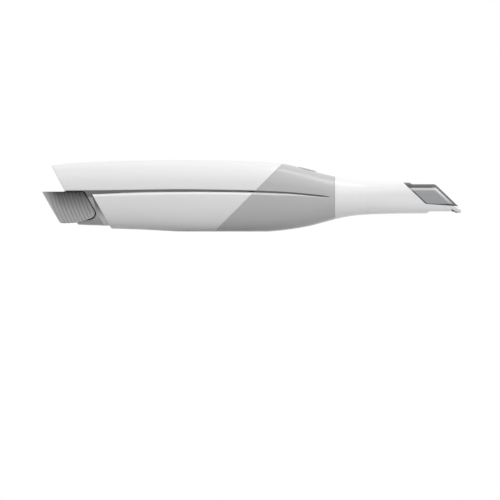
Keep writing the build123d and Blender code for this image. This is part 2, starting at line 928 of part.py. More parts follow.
# Optical bench: an open trough with ears, two walls for the focusing lens and a slot for the sensor
bench_bore = bench_radius - bench_wall
splitter_size = (bench_bore - running_gap) * sqrt(2)
splitter_mid_x = bench_rear_x + splitter_offset + splitter_size / 2
rear_wall_x = bench_rear_x + rear_wall_offset
front_wall_x = bench_front_x - wall_thickness
with BuildPart() as optics_bench:
    with BuildSketch(across(bench_rear_x)):
        Circle(bench_radius)
        Circle(bench_bore, mode=Mode.SUBTRACT)
        with Locations((0, bench_radius)):
            Rectangle(2 * bench_radius, 2 * bench_radius, mode=Mode.SUBTRACT)
    extrude(amount=bench_length)
    with BuildSketch(Plane.XY.offset(optic_z)):
        for x in ear_places_x:
            for side in (-1, 1):
                with Locations((x, side * (bench_bore + ear_half_span) / 2)):
                    Rectangle(ear_length, ear_half_span - bench_bore)
        with Locations(*ear_holes):
            Circle(screw_radius + running_gap, mode=Mode.SUBTRACT)
    extrude(amount=ear_thickness)
    for wall_x in (rear_wall_x, front_wall_x):
        with BuildSketch(across(wall_x)):
            Circle(bench_radius)
            Circle(wall_bore, mode=Mode.SUBTRACT)
            with Locations((-rod_offset, 0), (rod_offset, 0)):
                Circle(rod_radius + thread_gap, mode=Mode.SUBTRACT)
        extrude(amount=wall_thickness)
    with BuildSketch(Plane.XY.offset(optic_z)):
        with Locations((splitter_mid_x, 0)):
            Rectangle(sensor_size + 2 * optic_gap, sensor_size + 2 * optic_gap)
    extrude(amount=-above_z, mode=Mode.SUBTRACT)
write(optics_bench.part, "optics_bench")

# Light engine: finned heat sink, emitter board, emitter, condenser in its holder and pattern slide
sink_radius = bench_bore - running_gap
sink_front_x = bench_rear_x + sink_length
fin_places = [(0, (fin - sink_fin_count / 2) * sink_fin_pitch) for fin in range(sink_fin_count + 1)]
with BuildPart() as heat_sink:
    with BuildSketch(across(sink_front_x)):
        Circle(sink_radius)
    extrude(amount=-sink_base)
    with BuildSketch(across(sink_front_x - sink_base)):
        Circle(sink_radius)
        with Locations(*fin_places):
            Rectangle(2 * bench_radius, sink_fin_pitch - sink_fin, mode=Mode.SUBTRACT)
    extrude(amount=-(sink_length - sink_base))
write(heat_sink.part, "heat_sink")
with BuildPart() as emitter_board:
    with BuildSketch(across(sink_front_x)):
        Circle(sink_radius)
    extrude(amount=led_board_thickness)
write(emitter_board.part, "emitter_board")
with BuildPart() as light_emitter:
    with BuildSketch(across(sink_front_x + led_board_thickness)):
        Rectangle(emitter_size, emitter_size)
    extrude(amount=emitter_height)
write(light_emitter.part, "light_emitter")
holder_x = bench_rear_x + holder_offset
with BuildPart() as condenser_holder:
    with BuildSketch(across(holder_x)):
        Circle(sink_radius)
        Circle(holder_bore, mode=Mode.SUBTRACT)
    extrude(amount=holder_length)
write(condenser_holder.part, "condenser_holder")


def lens(rear_x, radius, edge, rear_bulge, front_bulge):
    """A round lens about the optical axis; a bulge of zero leaves that face flat."""
    crown_z = optic_z + lens_flat_radius
    edge_z = optic_z + radius
    faces = []
    for face_x, bulge in ((rear_x, -rear_bulge), (rear_x + edge, front_bulge)):
        middle = (face_x + bulge * 3 / 4, optic_z + radius / 2)
        faces.append(((face_x, edge_z), middle, (face_x + bulge, crown_z), bulge))
    with BuildPart() as body:
        with BuildSketch(Plane.XZ):
            with BuildLine():
                for rim_point, middle, crown, bulge in faces:
                    if bulge:
                        ThreePointArc(rim_point, middle, crown)
                    else:
                        Line(rim_point, crown)
                    Line(crown, (crown[0], optic_z))
                Line((faces[0][2][0], optic_z), (faces[1][2][0], optic_z))
                Line(faces[0][0], faces[1][0])
            make_face()
        revolve(axis=Axis((0, 0, optic_z), (1, 0, 0)))
    return body.part


write(lens(holder_x, holder_bore - running_gap, condenser_edge, 0.0, condenser_bulge), "condenser_lens")
slide_x = holder_x + holder_length - slide_thickness
write(lens(slide_x, holder_bore - running_gap, slide_thickness, 0.0, 0.0), "pattern_slide")

# Beam splitter, with the image sensor on its board under it
with BuildPart() as beam_splitter:
    with BuildSketch(across(splitter_mid_x - splitter_size / 2)):
        Rectangle(splitter_size, splitter_size)
    extrude(amount=splitter_size)
write(beam_splitter.part, "beam_splitter")
sensor_top_z = optic_z - bench_radius
sensor_place = [(splitter_mid_x, 0)]
write(
    on_board(
        sensor_board_size,
        sensor_board_size,
        -sensor_board_thickness,
        sensor_place,
        sensor_top_z,
    ),
    "sensor_board",
)
write(on_board(sensor_size, sensor_size, sensor_height, sensor_place, sensor_top_z), "image_sensor")
flex_x = bench_rear_x - flex_offset
flex_end_x = splitter_mid_x - sensor_board_size / 2 + flex_overlap
flex_top_z = sensor_top_z - sensor_board_thickness
with BuildPart() as sensor_flex:
    with BuildSketch(Plane.XZ):
        with BuildLine():
            Polyline(
                (flex_x, board_bottom_z),
                (flex_x + flex_thickness, board_bottom_z),
                (flex_x + flex_thickness, flex_top_z),
                (flex_end_x, flex_top_z),
                (flex_end_x, flex_top_z - flex_thickness),
                (flex_x, flex_top_z - flex_thickness),
                close=True,
            )
        make_face()
    extrude(amount=flex_width / 2, both=True)
write(sensor_flex.part, "sensor_flex")

# Focusing lens: a carriage on two rods, moved by a coil between two magnets
with BuildPart() as guide_rods:
    with BuildSketch(across(rear_wall_x)):
        with Locations((-rod_offset, 0), (rod_offset, 0)):
            Circle(rod_radius)
    extrude(amount=bench_front_x - rear_wall_x)
write(guide_rods.part, "guide_rods")
carriage_x = bench_rear_x + carriage_offset
carriage_front_x = carriage_x + carriage_length
with BuildPart() as focus_carriage:
    with BuildSketch(across(carriage_x)):
        Circle(carriage_radius)
        Circle(carriage_bore, mode=Mode.SUBTRACT)
        with Locations((-rod_offset, 0), (rod_offset, 0)):
            Circle(rod_radius + running_gap, mode=Mode.SUBTRACT)
    extrude(amount=carriage_length)
write(focus_carriage.part, "focus_carriage")
focus_lens_x = carriage_x + (carriage_length - focus_lens_edge) / 2
write(
    lens(focus_lens_x, carriage_bore - thread_gap, focus_lens_edge, focus_lens_bulge, focus_lens_bulge),
    "focus_lens",
)
with BuildPart() as focus_coil:
    with BuildSketch(across(carriage_front_x)):
        Circle(coil_outer)
        Circle(coil_inner, mode=Mode.SUBTRACT)
    extrude(amount=coil_length)
write(focus_coil.part, "focus_coil")
with BuildPart() as focus_magnets:
    with BuildSketch(across(front_wall_x)):
        with Locations(*[(0, side * (magnet_inner + magnet_outer) / 2) for side in (-1, 1)]):
            Rectangle(magnet_width, magnet_outer - magnet_inner)
    extrude(amount=-magnet_length)
write(focus_magnets.part, "focus_magnets")

# Lens tube bolted to the front of the bench, reaching into the snout
tube_bore = tube_radius - tube_wall
with BuildPart() as lens_tube:
    with BuildSketch(across(bench_front_x)):
        Circle(tube_flange_radius)
    extrude(amount=tube_flange_length)
    with BuildSketch(across(bench_front_x)):
        Circle(tube_radius)
    extrude(amount=tube_length)
    with BuildSketch(across(bench_front_x)):
        Circle(tube_bore)
    extrude(amount=tube_length, mode=Mode.SUBTRACT)
write(lens_tube.part, "lens_tube")
for place_share, lens_name in zip(lens_place_shares, ("rear_lens", "relay_lens", "front_lens")):
    lens_x = bench_front_x + place_share * tube_length - lens_edge / 2
    write(lens(lens_x, tube_bore - thread_gap, lens_edge, lens_bulge, lens_bulge), lens_name)

# Snout: a root held in the nose and a straight tube that the tip slides over
snout_inset = tip_wall + slip_gap
root_inset = nose_wall + lip_clearance
seal_x = along(seal_share)
glass_rear_x = snout_end_x - window_recess - window_thickness


def tip_ring(outer_inset, inner_inset, rear_x, front_x):
    """A hollow length of the tip's form between two upright planes."""
    with BuildPart() as core:
        add(form(tip_stations, inner_inset))
        add(slab_between(rear_x - cut_overrun, front_x + cut_overrun), mode=Mode.INTERSECT)
    with BuildPart() as ring:
        add(form(tip_stations, outer_inset))
        add(slab_between(rear_x, front_x), mode=Mode.INTERSECT)
        add(core.part, mode=Mode.SUBTRACT)
    return ring.part


with BuildPart() as snout_tube:
    add(tip_ring(root_inset, root_inset + snout_wall, seam_x - snout_root, seam_x + snout_wall))
    add(tip_ring(snout_inset, snout_inset + snout_wall, seam_x + joint_gap, seal_x))
    add(tip_ring(snout_inset + seal_depth, snout_inset + snout_wall, seal_x, seal_x + seal_width))
    add(tip_ring(snout_inset, snout_inset + snout_wall, seal_x + seal_width, glass_rear_x))
    add(tip_ring(snout_inset, snout_inset + window_rebate, glass_rear_x, snout_end_x))
write(snout_tube.part, "snout_tube")
seal_rear_x = seal_x + running_gap
seal_front_x = seal_x + seal_width - running_gap
write(
    tip_ring(tip_wall + seal_squeeze, snout_inset + seal_depth, seal_rear_x, seal_front_x), "snout_seal"
)
with BuildPart() as snout_window:
    add(form(tip_stations, snout_inset + window_rebate + thread_gap))
    add(slab_between(glass_rear_x, glass_rear_x + window_thickness), mode=Mode.INTERSECT)
write(snout_window.part, "snout_window")

# Planes of the tip's leaning end: each is where x plus z has this value
hood_points = [(along(x), high(z)) for x, z in hood_outline_shares]
front_rise = hood_points[3][1] - hood_points[4][1]
front_run = hood_points[4][0] - hood_points[3][0]
front_slope = front_run / front_rise
front_length = sqrt(front_run**2 + front_rise**2)


def front_x(z, depth):
    """X at height z of the tip's leaning front face, moved in by a depth square to it."""
    return hood_points[3][0] + (hood_points[3][1] - z) * front_slope - depth * front_length / front_rise


# The hollow of the tip: a socket for the snout, then a chamber over a thicker floor
chamber_x = along(chamber_share)
chamber_floor_z = high(chamber_floor_share)
chamber_top_z = hood_points[2][1] - hood_wall
with BuildPart() as tip_hollow:
    add(form(tip_stations, tip_wall))
    add(
        side_prism(
            [
                (seam_x - cut_overrun, -cut_overrun),
                (chamber_x, -cut_overrun),
                (chamber_x, chamber_floor_z),
                (front_x(chamber_floor_z, mirror_setback), chamber_floor_z),
                (front_x(chamber_top_z, mirror_setback), chamber_top_z),
                (chamber_x, chamber_top_z),
                (chamber_x, above_z),
                (seam_x - cut_overrun, above_z),
            ]
        ),
        mode=Mode.INTERSECT,
    )
window_start_x = along(window_start_share)
window_end_x = along(window_end_share)
with BuildPart() as scan_window:
    with BuildSketch(Plane.XY):
        with Locations(((window_start_x + window_end_x) / 2, 0)):
            RectangleRounded(window_end_x - window_start_x, 2 * window_half_width, window_corner)
    extrude(amount=high(nose_outline_shares[0][1]) + cut_overrun)
    add(
        side_prism(
            [
                (window_start_x - cut_overrun, 0.0),
                (front_x(0.0, mirror_setback), 0.0),
                (front_x(chamber_top_z, mirror_setback), chamber_top_z),
                (window_start_x - cut_overrun, chamber_top_z),
            ]
        ),
        mode=Mode.INTERSECT,
    )

# White sleeve of the tip, with its rounded nose and the window in its underside
nose_points = [(along(x), high(z)) for x, z in nose_outline_shares]
hood_block = side_prism(hood_points, [(5, grip_heel_radius)])
with BuildPart() as tip_plan:
    with BuildSketch(Plane.XY.offset(hood_points[4][1])) as rim:
        with Locations(((seam_x + hood_points[4][0]) / 2, 0)):
            Rectangle(hood_points[4][0] - seam_x, form_shares[-1][3] * body_width + 2 * joint_gap)
        fillet(rim.vertices().group_by(Axis.X)[-1], tip_plan_radius)
    extrude(rim.sketch, amount=body_height, dir=(-front_slope, 0, 1))
    nose_run = nose_points[0][0] - hood_points[4][0]
    nose_drop = hood_points[4][1] - nose_points[0][1]
    extrude(rim.sketch, amount=body_height / 2, dir=(nose_run / nose_drop, 0, -1))
with BuildPart() as tip_corners:
    add(slab_between(hood_points[1][0], nose_points[0][0] + cut_overrun))
    add(tip_plan.part, mode=Mode.SUBTRACT)
with BuildPart() as tip_sleeve:
    add(form(tip_stations, 0.0))
    add(
        side_prism(
            [
                (seam_x + joint_gap, above_z),
                (hood_points[0][0], above_z),
                *hood_points[:5],
                *nose_points,
                (nose_points[-1][0], -cut_overrun),
                (seam_x + joint_gap, -cut_overrun),
            ],
            [(7, nose_radius)],
        ),
        mode=Mode.INTERSECT,
    )
    add(tip_hollow.part, mode=Mode.SUBTRACT)
    add(scan_window.part, mode=Mode.SUBTRACT)
    add(hood_block, mode=Mode.SUBTRACT)
    add(tip_corners.part, mode=Mode.SUBTRACT)
write(tip_sleeve.part, "tip_sleeve")

# Grey hood over the mirror, with softly rounded edges along its top and front
hood_top_z = hood_points[2][1] - hood_joint_gap
with BuildPart() as tip_hood:
    with BuildSketch(Plane.XZ) as hood_sketch:
        with BuildLine():
            Polyline(*hood_points, close=True)
        make_face()
        fillet(hood_sketch.vertices().sort_by_distance(hood_points[5])[0], grip_heel_radius)
        offset(amount=-hood_joint_gap)
    extrude(amount=hood_half_width, both=True)
    add(form(tip_stations, hood_inset), mode=Mode.INTERSECT)
    add(tip_hollow.part, mode=Mode.SUBTRACT)
    add(tip_corners.part, mode=Mode.SUBTRACT)
    top_edges = tip_hood.edges().filter_by(lambda edge: abs(edge.center().Z - hood_top_z) < thread_gap)
    rear_edge = top_edges.filter_by(lambda edge: abs(edge.center().Y) < thread_gap).sort_by(Axis.X)[0]
    fillet([edge for edge in top_edges if edge != rear_edge], hood_edge_radius)
write(tip_hood.part, "tip_hood")

# Mirror bonded to the back of the tip's leaning front
mirror_low_z = high(mirror_bottom_share)
mirror_high_z = high(mirror_top_share)
with BuildPart() as tip_mirror:
    with BuildSketch(Plane.XZ):
        with BuildLine():
            Polyline(
                (front_x(mirror_low_z, mirror_setback), mirror_low_z),
                (front_x(mirror_high_z, mirror_setback), mirror_high_z),
                (front_x(mirror_high_z, mirror_setback + mirror_thickness), mirror_high_z),
                (front_x(mirror_low_z, mirror_setback + mirror_thickness), mirror_low_z),
                close=True,
            )
        make_face()
    extrude(amount=mirror_half_width, both=True)
write(tip_mirror.part, "tip_mirror")
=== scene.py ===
"""Looks of a cordless intraoral scanner: smooth shells, ribbed grip, tip and stage, round the fixed frame."""

import json
import math

import bmesh
import bpy
import numpy as np
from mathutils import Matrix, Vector


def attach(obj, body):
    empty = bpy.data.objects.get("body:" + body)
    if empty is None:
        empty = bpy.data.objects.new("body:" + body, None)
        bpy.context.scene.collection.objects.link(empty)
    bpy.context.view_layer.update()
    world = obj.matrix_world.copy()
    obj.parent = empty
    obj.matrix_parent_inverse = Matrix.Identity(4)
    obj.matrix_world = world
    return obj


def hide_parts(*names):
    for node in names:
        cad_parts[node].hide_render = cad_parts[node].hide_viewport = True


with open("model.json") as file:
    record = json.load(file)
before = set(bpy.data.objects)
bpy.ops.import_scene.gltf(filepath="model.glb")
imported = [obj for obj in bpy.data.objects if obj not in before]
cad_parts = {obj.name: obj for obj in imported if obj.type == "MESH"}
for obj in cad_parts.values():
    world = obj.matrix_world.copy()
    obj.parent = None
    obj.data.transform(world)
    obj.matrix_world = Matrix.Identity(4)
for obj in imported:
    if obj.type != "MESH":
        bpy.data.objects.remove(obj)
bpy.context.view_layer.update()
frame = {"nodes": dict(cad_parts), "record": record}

# Lengths are in millimetres and angles in degrees, unless a line says otherwise
MILLIMETRE = 0.001

# Driving sizes of the wand
LENGTH = 274.0
HEIGHT = 46.6
WIDTH = 42.0
WALL = 1.7
TAIL_LEAN = 28.1
LOWER_LEAN = 29.1

# Places in the side view, as shares of the length from the tail and of the height
TAIL_FOOT = (0.0553, 0.5690)
LOWER_FOOT = (0.1194, 0.5287)
COLOUR_FOOT = 0.4122
SEAM = 0.6978

# Body form: share of the length, then top, bottom, half width and level as shares, upper and lower power
STATIONS = np.array([
    (0.0100, 0.9175, 0.0850, 0.740, 0.545, 2.9, 2.3),
    (0.0672, 0.9550, 0.0620, 0.820, 0.550, 2.9, 2.3),
    (0.1387, 0.9800, 0.0460, 0.900, 0.557, 2.9, 2.3),
    (0.2340, 0.9950, 0.0280, 0.970, 0.573, 2.9, 2.3),
    (0.3531, 1.0000, -0.0060, 1.000, 0.579, 2.9, 2.3),
    (0.4603, 0.9920, -0.0100, 0.995, 0.574, 2.9, 2.3),
    (0.5247, 0.9780, -0.0040, 0.965, 0.566, 2.9, 2.3),
    (0.5723, 0.9530, 0.0165, 0.915, 0.550, 2.8, 2.3),
    (0.6319, 0.8710, 0.0700, 0.790, 0.523, 2.7, 2.3),
    (0.6676, 0.8126, 0.1230, 0.710, 0.503, 2.6, 2.3),
    (0.7010, 0.7690, 0.1750, 0.645, 0.472, 2.4, 2.3),
    (0.7343, 0.7260, 0.2140, 0.580, 0.470, 2.4, 2.4),
    (0.7724, 0.7030, 0.2360, 0.525, 0.4695, 2.5, 2.5),
    (0.8487, 0.6940, 0.2490, 0.500, 0.4715, 3.0, 3.0),
    (0.9249, 0.6900, 0.2530, 0.500, 0.4715, 3.6, 3.6),
    (1.0100, 0.6880, 0.2550, 0.500, 0.4715, 3.8, 3.8),
])

# The stations behind, at and ahead of the button, which stands square to the line between the outer two
BEHIND_BUTTON, AT_BUTTON, AHEAD_OF_BUTTON = STATIONS[7:10, :2]

# Side groove: share of the length, then its upper and lower edge as shares of the height
GROOVE = np.array([
    (0.0100, 0.5740, 0.5060),
    (0.1291, 0.5758, 0.5240),
    (0.1863, 0.5800, 0.5373),
    (0.2580, 0.5863, 0.5491),
    (0.3294, 0.5899, 0.5554),
    (0.4246, 0.5843, 0.5545),
    (0.4961, 0.5740, 0.5464),
    (0.5437, 0.5635, 0.5371),
    (0.5913, 0.5485, 0.5249),
    (0.6389, 0.5227, 0.4989),
    (0.6627, 0.5085, 0.4850),
    (0.6860, 0.4880, 0.4800),
])

# Groove in the grey nose: where it, its lip and its paint end, and their tapers, are shares of the length
GROOVE_DEPTH = 0.9
GROOVE_LEAST_WIDTH = 0.08
GROOVE_END = GROOVE[-1, 0]
GROOVE_TAPER = 0.016
GROOVE_TAPER_POWER = 0.7
# The paint is the lighter grey on the groove's lower lip, a painted highlight, and the frame's grey on its
# floor
GROOVE_PAINT_END = 0.6845
GROOVE_LIP_RADIUS = 0.9
GROOVE_LIP_END = 0.70
GROOVE_LIP_TAPER = 0.14
GROOVE_LIP_LEAST = 0.25
GROOVE_TOP_RADIUS = 0.3
GROOVE_SHOULDER = 1.5
GROOVE_CLEARANCE = 0.02

# Rims of the mouldings, with the inner turn and the reach of a rim in radii, and the columns of faces from
# the lower shell's edge that take a lighter white as a painted highlight along its lip
RIM_TURN = 1.6
RIM_REACH = 1.8
UPPER_SIDE_RIM = 0.55
LOWER_SIDE_RIM = 1.6
REAR_RIM = 0.55
DIAGONAL_RIM = 0.35
NOSE_RIM = 0.3
NOSE_WALL = 1.5
JOINT_GAP = 0.08
LIP_HIGHLIGHT_COLUMNS = (3, 5)

# How surfaces are worked out: rounds of substitution, and the distance under which two points are one
SETTLING_ROUNDS = 14
MERGE_DISTANCE = 0.002

# Well in the nose that the button ring sits in
WELL_RADIUS = 5.75
WELL_EDGE = 0.5
WELL_DEPTH = 2.4
WELL_REACH = 3.0

# Grip: rear top, front top, front foot, belly front and heel of its side, then its roundings
GRIP_CORNERS = [(0.0005, 0.558), (0.1005, 0.558), (0.1325, 0.217), (0.0872, 0.123), (0.0441, 0.116)]
GRIP_ROUNDING = [0.35, 0.35, 3.3, 1.0, 2.2]
GRIP_HALF_WIDTH = 15.0
GRIP_BELLY_RADIUS = 8.5
GRIP_REAR_RADIUS = 5.5
GRIP_FRONT_RADIUS = 0.4
GRIP_GAP = 0.65
CROWN_STEP = 0.8
CROWN_RISE = 0.5
CROWN_RUN = 2.0
RIB_PITCH = 2.45
RIB_DEPTH = 0.58
RIB_START = 4.0
RIB_BAND = 2.4
RIB_FADE = 0.8
RIB_SWEEP = (0.16, 0.22)

# Bezel round the grip, with its bottom and top as shares of the height and its toe as one of the length,
# and with the bevel that narrows down its front edge
BEZEL_BOTTOM = 0.0945
BEZEL_TOP = LOWER_FOOT[1] - BEZEL_BOTTOM / 2
BEZEL_TOE = 0.0851
BEZEL_GAP = GRIP_GAP * 1.15
BEZEL_SINK = 0.12
BEZEL_OVERLAP = 4.0
BEZEL_FRONT_RIM, BEZEL_FRONT_WALL = 0.12, 4.0
BEZEL_HIDDEN_RIM, BEZEL_HIDDEN_WALL = 0.2, 2.6
BEZEL_LOWEST_Z = 5.3
BEZEL_SAMPLE_RISE = 0.3
BEVEL_FOOT_Z = 12.5
BEVEL_LEAST, BEVEL_GAIN = 0.6, 2.6
BEVEL_SLOPE = 0.55

# Bar across the top of the battery bay
LINTEL_HEIGHTS = (23.9, 26.8)
LINTEL_REACH = (0.1, 6.0)
LINTEL_HALF_WIDTH = 9.0
LINTEL_END = 0.4
LINTEL_END_SHARES = (0.8, 0.7)

# Hood: rear top, step, step foot, front top, front foot and rear foot of its side, then its roundings
HOOD_CORNERS = [
    (0.8582, 0.7000), (0.8771, 0.6900), (0.8807, 0.6643),
    (0.9370, 0.6643), (0.9924, 0.3525), (0.9140, 0.3860),
]
HOOD_FRONT_RADIUS = 5.0
HOOD_TOP_RADIUS = 2.6
HOOD_EDGE_RADIUS = 0.7
HOOD_PEAK_RADIUS = 1.0
HOOD_PEAK_SHARE = 0.7
HOOD_INSET = 0.06
HOOD_SIDE_INSET = 0.12
HOOD_REAR_SINK = 0.16
HOOD_TOP_SINK = 0.05
HOOD_STEP_START = 0.5
HOOD_STEP_RUN = 1.2
HOOD_WALL = 1.2

# Notch under the tip's end, painted dark for its shade and the mirror's lower edge that shows there: a point
# on it, its normal and half sizes
NOTCH = (130.6, 14.1)
NOTCH_NORMAL = (0.541, 0.841)
NOTCH_MIDDLE_X = 132.0
NOTCH_HALF_LENGTH = 1.7
NOTCH_HALF_WIDTH = 0.55
NOTCH_SOFTNESS = 0.15


def along(share):
    """X of a share of the length from the tail: (share - 1/2) * length."""
    return (share - 0.5) * LENGTH


def side_point(corner):
    """X and Z of a corner that is given as shares of the length and of the height."""
    return along(corner[0]), corner[1] * HEIGHT


def smooth_rows(table, share):
    """Rows of a table at any x share: cubic pieces h00*a + h10*s*ma + h01*b + h11*s*mb through its rows."""
    place = table[:, 0]
    ahead = np.minimum(np.arange(len(table)) + 1, len(table) - 1)
    behind = np.maximum(np.arange(len(table)) - 1, 0)
    slope = (table[ahead] - table[behind]) / (place[ahead] - place[behind])[:, None]
    share = np.clip(share, place[0], place[-1])
    k = np.clip(np.searchsorted(place, share, side="right") - 1, 0, len(table) - 2)
    span = place[k + 1] - place[k]
    t = ((share - place[k]) / span)[..., None]
    s = span[..., None]
    start = (2 * t**3 - 3 * t**2 + 1) * table[k] + (t**3 - 2 * t**2 + t) * s * slope[k]
    end = (3 * t**2 - 2 * t**3) * table[k + 1] + (t**3 - t**2) * s * slope[k + 1]
    return start + end


def form_sizes(x):
    """Half width, level, rise, fall and the two powers of the oval section at x."""
    row = smooth_rows(STATIONS, x / LENGTH + 0.5)
    level = row[..., 4] * HEIGHT
    return (row[..., 3] * WIDTH / 2, level, row[..., 1] * HEIGHT - level,
            level - row[..., 2] * HEIGHT, row[..., 5], row[..., 6])


def oval(x, angle, inset):
    """Point of the form: |y/h|^n + |z/r|^n = 1 at this angle, with h and r drawn in by the inset."""
    half, level, rise, fall, up, down = form_sizes(x)
    c, s = np.cos(angle), np.sin(angle)
    power = np.where(s >= 0, up, down)
    reach = (np.abs(c) ** power + np.abs(s) ** power) ** (-1 / power)
    y = (half - inset) * c * reach
    z = level + np.where(s >= 0, rise - inset, fall - inset) * s * reach
    return np.stack(np.broadcast_arrays(x, y, np.maximum(z, 0.0)), -1)


def angle_at(x, z):
    """Angle on the +Y side where the form has this height: w = dz/r, angle = atan2(w, (1 - w^n)^(1/n))."""
    _, level, rise, fall, up, down = form_sizes(x)
    over = z >= level
    w = np.clip(np.where(over, (z - level) / rise, (level - z) / fall), 0, 1)
    power = np.where(over, up, down)
    angle = np.arctan2(w, np.maximum(1 - w**power, 0) ** (1 / power))
    return np.where(over, angle, -angle)


def groove_z(x):
    """Upper and lower edge of the side groove at x."""
    row = smooth_rows(GROOVE, x / LENGTH + 0.5)
    upper, lower = row[..., 1] * HEIGHT, row[..., 2] * HEIGHT
    return np.maximum(upper, lower + GROOVE_LEAST_WIDTH), lower


def leaning_line(foot, lean, z):
    """X at height z of an edge that leans rearwards from its foot: x = x0 - (z - z0) * tan(lean)."""
    foot_x, foot_z = side_point(foot)
    return foot_x - (z - foot_z) * math.tan(math.radians(lean))


def tail_line(z):
    """X of the upper shell's leaning end at height z."""
    return leaning_line(TAIL_FOOT, TAIL_LEAN, z)


def lower_line(z):
    """X of the lower shell's leaning rear edge at height z."""
    return leaning_line(LOWER_FOOT, LOWER_LEAN, z)


def colour_line(z):
    """X of the diagonal joint between white and grey at height z, which leans forwards by 45 degrees."""
    return along(COLOUR_FOOT) + z


def rim(radius, wall, steps=5):
    """Rounded rim of a moulding as (distance, inset) pairs: d = r(1 - cos t), i = r(1 - sin t)."""
    turn = np.linspace(0, math.pi / 2, steps)
    arc = np.stack([radius * (1 - np.cos(turn)), radius * (1 - np.sin(turn))], -1)
    return np.vstack([[(0, wall)], [(0, radius * RIM_TURN)], arc, [(radius * RIM_REACH, 0)]])


def mesh_object(name, points, faces, body, slot, replaced=(), finish=None, others=(), which=None):
    """A mesh that rides on a body and stands for the named nodes; which gives each face's finish number."""
    mesh = bpy.data.meshes.new(name)
    mesh.from_pydata((np.asarray(points) * MILLIMETRE).tolist(), [], faces)
    if others:
        mesh.polygons.foreach_set("material_index", np.asarray(which, dtype=np.int32))
    work = bmesh.new()
    work.from_mesh(mesh)
    bmesh.ops.remove_doubles(work, verts=work.verts, dist=MERGE_DISTANCE * MILLIMETRE)
    bmesh.ops.recalc_face_normals(work, faces=work.faces)
    work.to_mesh(mesh)
    work.free()
    mesh.polygons.foreach_set("use_smooth", [True] * len(mesh.polygons))
    piece = bpy.data.objects.new(name, mesh)
    bpy.context.scene.collection.objects.link(piece)
    for material in (finish or finishes[slot], *others):
        mesh.materials.append(material)
    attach(piece, body)
    if replaced:
        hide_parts(*replaced)
    return piece


def grid_faces(rows, columns, closed=False):
    """Quads between neighbouring rows and columns; closed joins the last column to the first."""
    r = np.arange(rows - 1)[:, None]
    c = np.arange(columns if closed else columns - 1)[None, :]
    after = (c + 1) % columns
    return np.stack(np.broadcast_arrays(
        r * columns + c, r * columns + after, (r + 1) * columns + after, (r + 1) * columns + c
    ), -1).reshape(-1, 4).tolist()


def cap_faces(first, count):
    """Quads that close a row with mirrored halves: points a and a + 1 with the same two of the other side."""
    last = first + count - 1
    return [(first + a, first + a + 1, last - 1 - a, last - a) for a in range(count // 2 - 1)]


def both_sides(x, y, z):
    """Points of the +Y side, then the same row mirrored at y = 0 and run backwards."""
    return np.stack([np.hstack([part, sign * part[:, ::-1]]) for part, sign in ((x, 1), (y, -1), (z, 1))], -1)


def settle(share, offset, start, end, section, row_inset):
    """Points whose x lies between two lines that depend on their own height, found by substitution."""
    x = 0 * section(0 * share)[0] + offset
    z = 0 * x + HEIGHT / 2
    for _ in range(SETTLING_ROUNDS):
        x = (1 - share) * start(z) + share * end(z) + offset
        angle, inset = section(x)
        z = oval(x, angle, np.maximum(inset, row_inset))[..., 2]
    angle, inset = section(x)
    return oval(x, angle, np.maximum(inset, row_inset))


def rows_between(first, last, rows):
    """Shares, offsets and insets of the rows of a moulding, with a rim at each end."""
    middle = np.linspace(0, 1, rows)[1:-1]
    share = np.concatenate([np.zeros(len(first)), middle, np.ones(len(last))])
    reach = first[-1, 0] * (1 - middle) - last[-1, 0] * middle
    offset = np.concatenate([first[:, 0], reach, -last[::-1, 0]])
    inset = np.concatenate([first[:, 1], 0 * middle, last[::-1, 1]])
    return share[:, None], offset[:, None], inset[:, None]


def half_shell(name, replaced, upper, start, radius, rows, columns=120):
    """One half of the white body: the oval form between the groove edges, with rounded rims all round."""
    side = rim(radius, WALL)
    rear = rim(REAR_RIM, WALL)
    if upper:
        rear = rear[2:]  # the tail is closed by a cap, so its rim has no inner turn
    share, offset, row_inset = rows_between(rear, rim(DIAGONAL_RIM, WALL), rows)
    gap = np.concatenate([side[:, 0], np.full(columns - 2, side[-1, 0]), side[::-1, 0]])
    inset = np.concatenate([side[:, 1], np.zeros(columns - 2), side[::-1, 1]])
    part = np.concatenate([np.zeros(len(side)), np.linspace(0, 1, columns)[1:-1], np.ones(len(side))])

    def section(x):
        """Angle and inset of each column: from one groove edge over the back or the belly to the other."""
        edge_up, edge_low = groove_z(x + 0 * gap)
        if upper:
            begin = angle_at(x, edge_up + gap)
            return begin + (math.pi - 2 * begin) * part, inset + 0 * begin
        begin = angle_at(x, edge_low - gap)
        return begin + (-math.pi - 2 * begin) * part, inset + 0 * begin

    points = settle(share, offset, start, colour_line, section, row_inset)
    rows, count = points.shape[:2]
    faces = grid_faces(rows, count)
    if upper:
        faces += cap_faces(0, count)
        return mesh_object(name, points.reshape(-1, 3), faces, "handle", "white_shell", replaced)
    # The lip's faces take a lighter copy of the white: a painted highlight along the lower shell's upper edge
    column = np.arange(len(faces)) % (count - 1)
    near = np.minimum(column, count - 2 - column)
    lip_highlight_faces = (near >= LIP_HIGHLIGHT_COLUMNS[0]) & (near <= LIP_HIGHLIGHT_COLUMNS[1])
    return mesh_object(name, points.reshape(-1, 3), faces, "handle", "white_shell", replaced,
                       others=(white_lip_highlight,), which=lip_highlight_faces)


